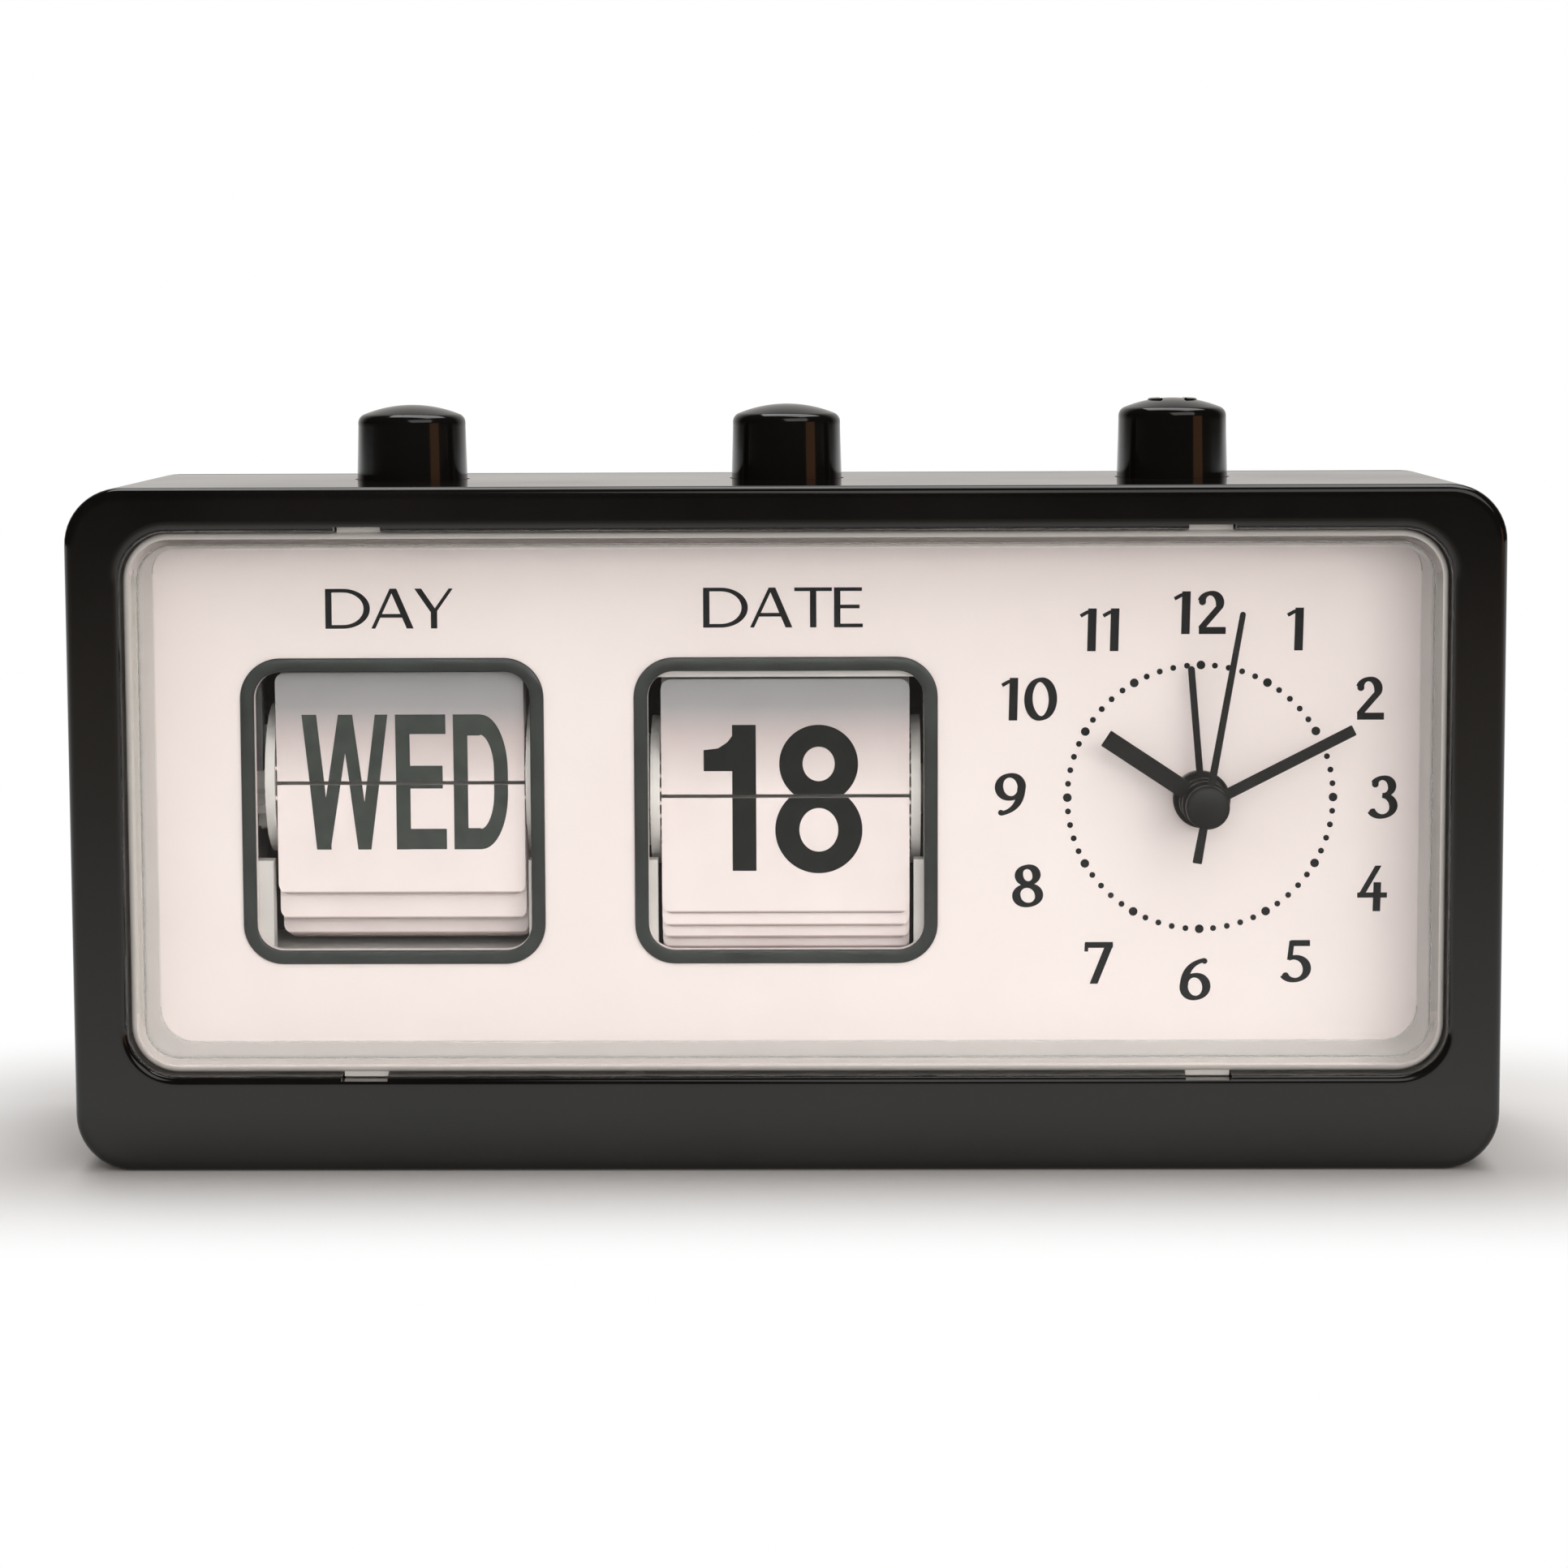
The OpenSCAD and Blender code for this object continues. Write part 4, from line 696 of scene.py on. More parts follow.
one = [leg(1.42, 5.1, 1.3, 0, 1.02), drawn([(1.5, 4.85), (0.75, 4.62), (0.0, 4.2)], 0.5, 0.42)]
six = [nib(arc((1.82, 1.62), (1.36, 1.38), 180, 540, 44)), nib(curl([(3.0, 4.85), (0.6, 4.4), (0.5, 1.75)])),
       ball(2.95, 4.72, 0.34)]
DIGITS = {
    "0": (3.8, [nib(arc((1.9, 2.55), (1.46, 2.3), 0, 360, 60))]),
    "1": (2.0, one),
    "2": (3.5, [nib(np.concatenate([arc((1.6, 3.7), (1.1, 1.16), 168, -30, 26), [(0.9, 1.2), (0.42, 0.62)]])),
                ball(0.62, 3.85, 0.42), bar(0.2, 3.4, 0.42, 0.84)]),
    "3": (3.3, [nib(arc((1.5, 3.82), (1.08, 1.04), 160, -90, 26)),
                nib(arc((1.36, 1.48), (1.4, 1.26), 88, -155, 30)),
                ball(0.58, 4.1, 0.4), ball(0.28, 0.75, 0.42)]),
    "4": (3.6, [leg(2.55, 5.1, 0.5, 1.5, 0.75), bar(0.05, 3.6, 1.55, 0.62), leg(2.45, 3.1, 2.35, -0.4, 0.9)]),
    "5": (3.3, [leg(1.05, 5.0, 0.78, 2.7, 0.62), bar(0.9, 3.2, 4.72, 0.72),
                nib(arc((1.35, 1.62), (1.5, 1.38), 118, -150, 34)), ball(0.3, 0.75, 0.42)]),
    "6": (3.6, six),
    "7": (3.5, [bar(0.1, 3.45, 4.7, 0.7), leg(0.3, 4.9, 0.25, 3.9, 0.45), leg(3.02, 4.7, 1.15, 0, 0.95)]),
    "8": (3.5, [nib(arc((1.75, 3.86), (1.05, 1.0), 0, 360, 44)),
                nib(arc((1.75, 1.42), (1.36, 1.17), 0, 360, 50))]),
    "9": (3.6, [((3.6, numeral_h) - left, (3.6, numeral_h) - right) for left, right in six]),
}
NUMERAL_AT = {"12": (52.06, 67.1), "1": (63.98, 65.02), "2": (73.33, 56.3), "3": (75.2, 43.88),
              "4": (73.79, 32.54), "5": (64.46, 23.13), "6": (51.64, 20.87), "7": (39.52, 22.97),
              "8": (30.56, 32.73), "9": (28.38, 44.3), "10": (30.71, 56.32), "11": (39.55, 64.99)}
numeral_gap = 0.7
numeral_scale = 1.05
numeral_shift = np.array([-0.3, 0.3])


def numeral(text, at):
    """A number centred on a place: its digits side by side, then enlarged together."""
    width = sum(DIGITS[digit][0] for digit in text) + numeral_gap * (len(text) - 1)
    strokes = DIGITS[text][1] if len(text) == 1 else word(text, DIGITS, 0, width, 0)
    low_left = np.array(at) + numeral_shift - np.array([width, numeral_h]) / 2 * numeral_scale
    return moved(strokes, *low_left, numeral_scale)


print("numerals:", len(NUMERAL_AT))

# %% [markdown]
# Printing on the dial
#
# Screen printing leaves a film of ink a few hundredths of a millimetre thick. Each stroke is given that
# thickness as a closed ribbon, so that the print is real geometry. Sixty dots mark the minutes, every
# fifth one larger.

# %% Ink film on the dial
film = 0.04
film_step = 0.003


def ribbons(strokes, place):
    """Strokes as closed ribbons: two edges on the sheet and again one film above it. Each of seven strokes in
    turn is a little thicker, as where ink runs over ink, so that no two tops lie in one plane."""
    shells = []
    for k, (left, right) in enumerate(strokes):
        thick = film + film_step * (k % 7)
        closed = np.allclose(left[0], left[-1])
        rows = slice(0, -1) if closed else slice(None)
        edges = [place(left, 0.0), place(right, 0.0), place(right, thick), place(left, thick)]
        shells.append(skin(np.stack(edges, 1)[rows], ring=closed))
    return shells


def on_dial(points, lift):
    """Flat (x, z) points on the front of the dial, lifted towards the window."""
    return np.stack([points[:, 0], np.full(len(points), dial_d - lift), points[:, 1]], -1)


word_z = 65.7
words = word("DAY", WORD_LETTERS, -57.7, -41.7, word_z) + word("DATE", WORD_LETTERS, -10.38, 9.59, word_z)
piece(solid("dial_words", ribbons(words, on_dial)), ink, "root")

numbers = [stroke for text, at in NUMERAL_AT.items() for stroke in numeral(text, at)]
piece(solid("dial_numerals", ribbons(numbers, on_dial)), ink, "root")

ring_r = 16.65
hour_dot, minute_dot = 0.55, 0.37
turns = np.radians(np.arange(60) * 6)
dots = []
for k, turn in enumerate(turns):
    radius = minute_dot if k % 5 else hour_dot
    at = (clock_x + ring_r * np.sin(turn), 0, clock_z + ring_r * np.cos(turn))
    dots.append(turned([(radius, dial_d - film), (radius, dial_d)], at, "d", 20))
piece(solid("minute_dots", [skin(grid) for grid in dots]), ink, "root")

# %% [markdown]
# Printing on the leaves
#
# A flip leaf shows the upper half of a word on its face and, upside down on its back, the lower half of the
# next one. The hanging leaf shows the lower half of today's word. So each word is drawn once, cut at the
# split, and laid on the leaf that carries it; the next day waits on the leaf behind.

# %% Day letters and date numerals
day_h = 17.2
day_stem_w = 1.8
date_h = 18.6


def day_stem(x):
    """An upright of the day letters."""
    return leg(x, 0, x, day_h, day_stem_w)


DAY_LETTERS = {
    "W": (10.85, [leg(0.92, day_h, 2.6, 0, 1.85), leg(2.6, 0, 5.4, day_h, 1.6), leg(5.6, day_h, 7.7, 0, 1.6),
                  leg(7.75, 0, 10.05, day_h, 1.6)]),
    "E": (6.35, [day_stem(0.9), bar(0.5, 6.35, day_h - 1.25, 2.5), bar(0.5, 5.9, 9.2, 2.9),
                 bar(0.5, 6.35, 1.32, 2.6)]),
    "D": (6.85, [day_stem(0.9), bowl(0.5, 6.85, 0, day_h, 1.75, 2.7, 2.6, 0.4)]),
    "T": (7.2, [bar(0, 7.2, day_h - 1.25, 2.5), leg(3.6, 0, 3.6, day_h - 1, 1.9)]),
    "H": (7.0, [day_stem(0.9), day_stem(6.1), bar(0.5, 6.5, 8.8, 2.6)]),
    "U": (7.0, [leg(0.9, 4.6, 0.9, day_h, day_stem_w), leg(6.1, 4.6, 6.1, day_h, day_stem_w),
                drawn(arc((3.5, 4.7), (2.6, 3.4), 180, 360, 30), day_stem_w, 2.6)]),
}
one_flag = (np.array([(0, 12.7), (1.8, 12.7), (3.0, 12.7), (3.9, 12.7), (4.4, 12.7)]),
            np.array([(0, 15.4), (1.8, 15.6), (3.0, 16.4), (3.9, 17.6), (4.35, date_h)]))
nine_tail = np.concatenate([[(9.48, 13.0), (9.48, 10.0)], arc((5.4, 5.2), (4.08, 3.9), 0, -150, 30)])
DATE_DIGITS = {
    "1": (6.6, [leg(5.1, 0, 5.1, date_h, 3.0), one_flag]),
    "8": (11.0, [drawn(arc((5.5, 13.6), (3.5, 3.6), 0, 360, 60), 2.95, 2.8),
                 drawn(arc((5.5, 5.2), (3.98, 4.15), 0, 360, 60), 3.05, 2.75)]),
    "9": (11.0, [drawn(arc((5.5, 13.0), (3.98, 4.2), 0, 360, 60), 3.05, 2.75), drawn(nine_tail, 3.05, 2.75)]),
}

# %% Halves of a word on its leaves
leaf_face = 0.1
split_gap = 0.225
day_z, date_z = 37.5, 34.7
day_leaves, date_leaves = 14, 31


def flat_sheet(points, lift):
    """Flat (x, z) points of a word, lifted from an upright sheet at the frame's own zero depth."""
    return np.stack([points[:, 0], np.full(len(points), lift), points[:, 1]], -1) - front


def halved(name, strokes, split, keep_upper, place):
    """A word's strokes cut level at the split, one half kept, the cuts closed, and laid on a leaf."""
    flat_word = solid(name, ribbons(strokes, flat_sheet))
    mesh = flat_word.data
    made = bmesh.new()
    made.from_mesh(mesh)
    bmesh.ops.bisect_plane(made, geom=made.verts[:] + made.edges[:] + made.faces[:], dist=1e-9,
                           plane_co=(0, 0, split * MM), plane_no=(0, 0, -1 if keep_upper else 1),
                           clear_outer=True)
    bmesh.ops.holes_fill(made, edges=[edge for edge in made.edges if edge.is_boundary], sides=0)
    made.to_mesh(mesh)
    made.free()
    points = np.empty(len(mesh.vertices) * 3)
    mesh.vertices.foreach_get("co", points)
    points = (place(points.reshape(-1, 3) / MM) + front) * MM
    mesh.vertices.foreach_set("co", points.ravel())
    outward(mesh)
    return flat_word


def leaf_place(joint, drum, hang, face, back_by=0.0):
    """Where a flat word point goes: up the leaf from its pivot by its height, out of the face by its lift; a
    word meant for a hanging leaf is measured down from that leaf's pivot; a waiting leaf is turned back."""
    at = pivot(joint)
    axis = pivot(drum)
    up = np.array([0, -np.sin(lean), np.cos(lean)])
    out = leaf_out * face
    hang_z = 2 * axis[2] - at[2]

    def place(points):
        height = hang_z - points[:, 2] if hang else points[:, 2] - at[2]
        spot = np.stack([points[:, 0], 0 * height, 0 * height], -1) + (0, at[1], at[2])
        spot += height[:, None] * up + (leaf_face + points[:, 1:2]) * out
        away = spot - axis
        turned_d = away[:, 1] * np.cos(back_by) + away[:, 2] * np.sin(back_by)
        turned_z = away[:, 2] * np.cos(back_by) - away[:, 1] * np.sin(back_by)
        return np.stack([spot[:, 0], turned_d + axis[1], turned_z + axis[2]], -1)
    return place


def hanging_place(joint):
    """Where a flat word point goes on the first hanging leaf: straight down, on its face."""
    at = pivot(joint)
    return lambda points: np.stack([points[:, 0], at[1] - leaf_face - points[:, 1], points[:, 2]], -1)


day_word = word("WED", DAY_LETTERS, -61.18, -35.25, day_z)
next_day = word("THU", DAY_LETTERS, -60.2, -36.4, day_z)
date_word = word("18", DATE_DIGITS, -10.5, 9.5, date_z)
next_date = word("19", DATE_DIGITS, -10.5, 9.5, date_z)
LEAF_WORDS = (("day", day_word, next_day, day_leaves, leaf_ink),
              ("date", date_word, next_date, date_leaves, date_ink))
for name, today, tomorrow, leaves, paint in LEAF_WORDS:
    fall, drum = name + "_flip_fall", name + "_turn"
    waiting = leaf_place(fall, drum, False, 1, 2 * np.pi / leaves)
    rows = (("upper_print", today, True, leaf_place(fall, drum, False, 1), name + "_flip"),
            ("lower_print", today, False, hanging_place(name + "_hang_1_swing"), name + "_hang_1"),
            ("next_lower_print", tomorrow, False, leaf_place(fall, drum, True, -1), name + "_flip"),
            ("next_upper_print", tomorrow, True, waiting, name + "_drum_body"))
    for part, strokes, upper, place, body in rows:
        split = pivot(drum)[2] + (split_gap if upper else -split_gap)
        piece(halved(name + "_" + part, strokes, split, upper, place), paint, body)

# %% [markdown]
# Hands
#
# The hands are stamped aluminium strips with black lacquer, pressed on the tubes of the movement by small
# hubs. A bevelled strip section carried along the length gives crisp edges that catch light; hour and
# minute hand end square, second and alarm hand round. The second hand's hub is a turned plastic cap.

# %% Hand shapes
lacquer = finish("black_lacquered_aluminium", "#0d0d0d", "#151514", mottle=3, grain=0.4, rough=(0.38, 0.5),
                 lift=0.004, shader={"IOR": 1.5, "Specular IOR Level": 0.3})
hand_t = 0.4
hand_edge = 0.08
hub_t = 1.6
hub_edge = 0.15
hub_bite = 0.3


def strip(start, length, root_w, tip_w, depth, angle, round_tip):
    """A flat strip from start to length along a clock angle: a bevelled oblong section scaled to the width
    at each row, the last rows drawn in, along a half circle where the tip is round."""
    rows = np.r_[start, start + hand_edge, np.linspace(start + 0.5, length - 0.6, 4)]
    tip = np.array([length - hand_edge, length])
    if round_tip:
        tip = length - tip_w / 2 * (1 - np.cos(np.linspace(np.pi / 2, 0.12, 8)))
    rows = np.r_[rows, np.sort(tip)]
    half = (root_w + (tip_w - root_w) * rows / length) / 2
    if round_tip:
        into = np.clip((rows - (length - tip_w / 2)) / (tip_w / 2), 0, 0.995)
        half = half * np.sqrt(1 - into ** 2)
    inset = np.where((np.arange(len(rows)) % (len(rows) - 1)) == 0, hand_edge, 0.0)
    side = np.array([-1, -1, -1, 1, 1, 1, 1, -1])
    level = np.array([hand_edge, hand_t - hand_edge, hand_t, hand_t, hand_t - hand_edge, hand_edge, 0, 0])
    pull = np.array([0, 0, 1, 1, 0, 0, 1, 1]) * hand_edge
    x = side * np.maximum(half[:, None] - pull - inset[:, None], 0.02)
    d = np.broadcast_to(np.clip(level, inset[:, None], hand_t - inset[:, None]) + depth, x.shape)
    z = np.broadcast_to(rows[:, None], x.shape)
    turn = np.radians(angle)
    right = x * np.cos(turn) + z * np.sin(turn)
    up = z * np.cos(turn) - x * np.sin(turn)
    return np.stack([right + clock_x, d, up + clock_z], -1)


def hub(radius, bore, depth):
    """A ring-shaped hub: an oblong section with small bevels turned round the clock's axis."""
    end = depth + hub_t
    section = [(bore, depth), (radius - hub_edge, depth), (radius, depth + hub_edge),
               (radius, end - hub_edge), (radius - hub_edge, end), (bore, end)]
    return turned(section, (clock_x, 0, clock_z), "d", 48)


# %% Hands on the dial
HANDS = {
    "hour": dict(body="hours", angle=303.5, length=14.6, width=2.25, hub_r=3.0, bore=1.95),
    "minute": dict(body="minutes", angle=63, length=20.4, width=1.35, hub_r=2.9, bore=1.2),
    "alarm": dict(body="alarm_setting", angle=355, length=16.8, width=0.85, hub_r=3.55, bore=2.75),
}
for name, hand in HANDS.items():
    depth = span(name + "_hand")[0][1]
    blade = strip(hand["bore"] + hub_bite, hand["length"], hand["width"], hand["width"], depth, hand["angle"],
                  round_tip=name == "alarm")
    made = solid(name + "_hand_blade", [skin(blade)])
    carve(made, [skin(hub(hand["hub_r"], hand["bore"], depth), ring=True)], "UNION")
    piece(made, lacquer, hand["body"], [name + "_hand"])

cap_d = span("second_hand")[0][1]
second_d = span("second_hand")[1][1] - hand_t
second_back = second_d + hand_t
second_angle = 10
second_start, second_l, tail_l = 0.8, 24.4, 7.1
second_w, second_tip_w, tail_tip_w = 0.95, 0.7, 1.15
cap_r = 2.7
cap_edge = 0.45
cap_bore = 0.5
cap_crown = [(pole, cap_d + 0.02), (1.3, cap_d + 0.03), (2.0, cap_d + 0.1)]
cap_section = np.concatenate([
    cap_crown, arc((cap_r - cap_edge, cap_d + 0.6), (cap_edge, 0.42), -80, 0, 7),
    [(cap_r, second_d), (cap_r, second_back), (cap_bore, second_back), (cap_bore, second_d),
     (pole, second_d)]])
pointer = strip(second_start, second_l, second_w, second_tip_w, second_d, second_angle, round_tip=True)
tail = strip(second_start, tail_l, second_w, tail_tip_w, second_d, second_angle + 180, round_tip=False)
second = solid("second_hand_blade", [skin(pointer), skin(tail)])
carve(second, [skin(turned(cap_section, (clock_x, 0, clock_z), "d"))], "UNION")
piece(second, lacquer, "seconds", ["second_hand"])

# %% [markdown]
# Rear cover and battery door
#
# The cover is a plate with a rounded rear edge, screwed to the case, with posts that press the cages and the
# movement against the dial. It is carried round the same outline as the case, so that the seam lines up. The
# door lifts out; grooves across it give the thumb a hold.

# %% Rear cover
cover_edge = 1.0
post_r = 1.4
door_low, door_high = span("battery_door")
door_gap = 0.2
screw_head, screw_hole, head_depth = 2.8, 1.5, 1.2
knob_hole = 1.3
panel_w, panel_h, panel_r = 70, 30, 3.0
panel_at = (-38, 46)
panel_depth = 0.3
panel_draft = 0.3
slot_w = 1.2
slot_step = 2.6
slot_depth = 1.2
slot_low, slot_high = 64, 74
slot_reach = 4
cover_rim = 0.2
cover_section = np.concatenate([
    [(-seam - flat, rear_d), (-seam, rear_d), (0, rear_d + seam), (0, rear_d + seam + cover_rim)],
    arc((-cover_edge, back_d - cover_edge), (cover_edge, cover_edge), 0, 90), [(-cover_edge - flat, back_d)]])
cover = solid("rear_cover_plate", [skin(carried(cover_section, body_w, body_h, corner_r, case_at))])
knob_at = [pivot(joint) for joint in ("time_set_turn", "alarm_set_turn")]
head_d = back_d - head_depth
screw_section = [(screw_hole, rear_d - past), (screw_hole, head_d), (screw_head, head_d),
                 (screw_head, back_d + past)]
screw_wells = [turned(screw_section, (x, 0, z), "d", 40) for x, z in screw_places]
knob_section = [(knob_hole, rear_d - past), (knob_hole, back_d + past)]
knob_wells = [turned(knob_section, (at[0], 0, at[2]), "d", 32) for at in knob_at]
door_well = block((door_low[0] - door_gap, rear_d - past, door_low[2] - door_gap),
                  (door_high[0] + door_gap, back_d + past, door_high[2] + door_gap))
panel_section = [(0, back_d - panel_depth), (panel_draft, back_d + past)]
panel = carried(panel_section, panel_w, panel_h, panel_r, panel_at)
slot_x = [clock_x + k * slot_step for k in range(-slot_reach, slot_reach + 1)]
slots = [block((x - slot_w / 2, back_d - slot_depth, slot_low), (x + slot_w / 2, back_d + past, slot_high))
         for x in slot_x]
carve(cover, [skin(grid) for grid in screw_wells + knob_wells + [door_well, panel] + slots], "DIFFERENCE")

# %% Posts, lips and turning signs of the cover
lip_half, lip_depth, lip_t = 60, 2.5, 1.0
lip_z = (2.35, 80.65)
ledge_half, ledge_depth = 1.6, 1.2
post_x, post_middle, post_reach, post_front = 82.05, 45.2, 20, 18.9
lips = [block((-lip_half, rear_d - lip_depth, z), (lip_half, rear_d + bond, z + lip_t)) for z in lip_z]
ledges = [block((x - ledge_half, rear_d - ledge_depth, door_low[2]),
                (x + ledge_half, rear_d + bond, door_high[2])) for x in (door_low[0], door_high[0])]
post_section = [(post_r, post_front), (post_r, rear_d + bond)]
posts = [turned(post_section, (x, 0, post_middle + z), "d", 24)
         for x in (-post_x, post_x) for z in (-post_reach, post_reach)]
carve(cover, [skin(grid) for grid in lips + ledges + posts], "UNION")
piece(cover, satin_abs, "root", ["rear_cover"])


relief = 0.25
sunk = 0.02
sign_sunk = 0.05
sign_r = (8.6, 7.6)
sign_start, sign_end = 150, 40
letter_pitch = 5.2
word_rise = 2
half_size = 0.5


def turning_sign(at, radius, start, end, band=0.35, head=1.1, head_from=0.8, point=0.02):
    """A raised arrow bent round a knob: a flat band along an arc whose width opens to a head and closes to a
    point over the last fifth."""
    t = np.linspace(0, 1, 40)
    turn = np.radians(start + (end - start) * t)
    half = np.where(t < head_from, band, head * (1 - t) / (1 - head_from) + point)
    rim = np.stack([np.cos(turn), np.sin(turn)], -1)
    inner, outer = ((radius + side * half)[:, None] * rim + (at[0], at[2]) for side in (-1, 1))
    low, high = back_d - sign_sunk, back_d + relief
    rails = ((inner, low), (outer, low), (outer, high), (inner, high))
    return np.stack([np.insert(edge, 1, level, axis=1) for edge, level in rails], 1)


def on_cover(points, lift):
    """Flat (x, z) points on the rear cover, read from behind and lifted off it."""
    level = back_d - sunk + lift * relief / film
    return np.stack([-points[:, 0], np.full(len(points), level), points[:, 1]], -1)


cover_words = []
for text, at, radius in zip(("TIME", "ALARM"), knob_at, sign_r):
    length = letter_pitch * len(text)
    strokes = word(text, WORD_LETTERS, 0, length, 0)
    cover_words += moved(strokes, -at[0] - length * half_size / 2, at[2] + radius + word_rise, half_size)
piece(solid("setting_words", ribbons(cover_words, on_cover)), satin_abs, "root")
signs = [turning_sign(at, radius, sign_start, sign_end) for at, radius in zip(knob_at, sign_r)]
piece(solid("turning_signs", [skin(grid) for grid in signs]), satin_abs, "root")

# %% Battery door
door_w = door_high[0] - door_low[0]
door_h = door_high[2] - door_low[2]
door_at = ((door_low[0] + door_high[0]) / 2, (door_low[2] + door_high[2]) / 2)
door_edge = 0.4
door_r = 1.2
groove_half, groove_depth, groove_w = 8, 0.6, 0.7
groove_low, groove_step, groove_count = 2.2, 1.5, 3
hook_half, hook_t = 3, 1.0
door_section = np.concatenate([
    [(-1.0, rear_d), (0, rear_d), (0, back_d - door_edge - 0.2)],
    arc((-door_edge, back_d - door_edge), (door_edge, door_edge), 0, 90, 5), [(-door_edge - 0.5, back_d)]])
door = solid("battery_door_plate", [skin(carried(door_section, door_w, door_h, door_r, door_at))])
groove_z = [door_at[1] + groove_low + k * groove_step for k in range(groove_count)]
grooves = [block((door_at[0] - groove_half, back_d - groove_depth, z),
                 (door_at[0] + groove_half, back_d + past, z + groove_w)) for z in groove_z]
hook_x = (door_at[0] - door_w / 4, door_at[0] + door_w / 4)
hooks = [block((x - hook_half, door_low[1], door_low[2]),
               (x + hook_half, rear_d + bond, door_low[2] + hook_t)) for x in hook_x]
carve(door, [skin(grid) for grid in grooves], "DIFFERENCE")
carve(door, [skin(grid) for grid in hooks], "UNION")
piece(door, satin_abs, "door", ["battery_door"])

# %% [markdown]
# Setting knobs
#
# Two knobs on the back set the time and the alarm. A knob is turned, but its rim swells into eighteen ribs:
# the radius is a function of the angle as well as of the height, a raised cosine that fades at the rims.


# %% Ribbed knobs
shaft_r = 0.9
rib_h = 0.5
rib_shape = 0.6
foot_edge, rim_edge = 0.4, 0.6
dish_out, dish_in = 1.4, 1.9


def ribbed(at, radius, low, high, ribs=18, columns=216):
    """A knob as a function of height and angle: a round-edged section whose radius gains a raised cosine of
    rib height along the grip, with a shallow dish on the end."""
    grip = radius - rib_h
    section = np.concatenate([
        [(shaft_r, low), (grip - foot_edge, low)],
        arc((grip - foot_edge, low + foot_edge), (foot_edge, foot_edge), -90, 0, 5),
        [(grip, high - 2 * rim_edge)],
        arc((grip - rim_edge, high - rim_edge), (rim_edge, rim_edge), 0, 90, 6),
        [(grip - dish_out, high), (grip - dish_in, high - 0.4), (pole, high - 0.5)]])
    grid = turned(section, at, "d", columns)
    turn = np.linspace(0, 2 * np.pi, columns, endpoint=False)
    swell = rib_h * (0.5 + 0.5 * np.cos(ribs * turn)) ** rib_shape
    rows = np.isclose(section[:, 0], grip)
    grown = 1 + rows[:, None] * swell / grip
    away = grid - np.array(at)
    return np.stack([away[..., 0] * grown, away[..., 1], away[..., 2] * grown], -1) + np.array(at)


for name, body, at in zip(("time_knob", "alarm_knob"), ("motion_work", "alarm_setter"), knob_at):
    low, high = span(name)
    made = solid(name + "_grip", [skin(ribbed((at[0], 0, at[2]), (high[0] - low[0]) / 2, low[1], high[1]))])
    piece(made, knob_abs, body, [name])

# %% [markdown]
# Finishes of the parts inside
#
# The drums, cages and wheels keep the shapes of the frame. They show through the windows or when
# the clock is opened, so each has the finish of its real material: moulded acetal and styrene, turned brass,
# zinc-plated and spring steel, enamelled copper wire, glass-fibre board and a printed steel jacket.

# %% Inner finishes
metal = {"Metallic": 1.0}
styrene_resin = {"IOR": 1.58}
coating = {"IOR": 1.5}
acetal = finish("white_acetal", "#d6d3cf", "#e2dfdb", mottle=8, grain=0.8, rough=(0.35, 0.45),
                lift=0.004, shader={"IOR": 1.48})
cage_styrene = finish("grey_moulded_styrene", "#c4c1bd", "#d0cdc9", mottle=10, grain=0.6, rough=(0.38, 0.5),
                      lift=0.008, shader=styrene_resin)
housing_styrene = finish("ivory_moulded_styrene", "#d2cec4", "#dedad0", mottle=12, grain=0.6,
                         rough=(0.4, 0.52), lift=0.008, shader=styrene_resin)
pusher_abs = finish("dark_moulded_abs", "#343435", "#3e3e3e", mottle=7, grain=0.6, rough=(0.4, 0.5),
                    lift=0.008, shader=abs_resin)
brass = finish("turned_brass", "#b8954a", "#cdaa5e", mottle=1.5, grain=0.15, rough=(0.25, 0.38),
               lift=0.003, shader=metal)
steel = finish("zinc_plated_steel", "#a9abac", "#c3c5c6", mottle=1.2, grain=0.12, rough=(0.25, 0.4),
               lift=0.003, shader=metal)
magnet = finish("sintered_ferrite", "#3c3d3f", "#4b4c4e", mottle=0.8, grain=0.1, rough=(0.5, 0.65),
                lift=0.006)
copper = finish("enamelled_copper_wire", "#9c5a2e", "#b8713f", mottle=1.0, grain=0.16, rough=(0.28, 0.4),
                lift=0.02, shader=metal)
board = finish("green_lacquered_board", "#225a34", "#2d6b40", mottle=5, grain=0.4, rough=(0.3, 0.42),
               lift=0.006, shader=coating)
jacket = finish("printed_cell_jacket", "#4a4c4f", "#585a5e", mottle=14, grain=0.5, rough=(0.25, 0.35),
                lift=0.003, shader=coating)
INNER = {
    dial_sheet: ["dial_plate"],
    leaf_vinyl: [node for node in frame["nodes"] if "hanging_leaves" in node],
    rising_vinyl_painted_shade: ["day_rising_leaves", "date_rising_leaves"],
    **{material: [name + "_flip_leaf"] for name, material in flip_vinyl_painted_shade.items()},
    **{material: [node] for node, material in edge_shadow_vinyl.items()},
    acetal: ["day_drum", "date_drum", "hour_wheel", "alarm_wheel", "alarm_set_pinion", "intermediate_wheel"],
    cage_styrene: ["day_cage", "date_cage"],
    housing_styrene: ["movement_front", "movement_bridge", "movement_back"],
    pusher_abs: ["day_pusher", "date_pusher"],
    brass: ["second_wheel", "third_wheel", "centre_wheel", "cannon_pinion", "minute_wheel", "alarm_contact"],
    steel: ["case_screws", "day_axle", "date_axle", "battery_contacts"],
    magnet: ["rotor"],
    copper: ["stator_coil"],
    board: ["circuit_board"],
    jacket: ["battery"],
}
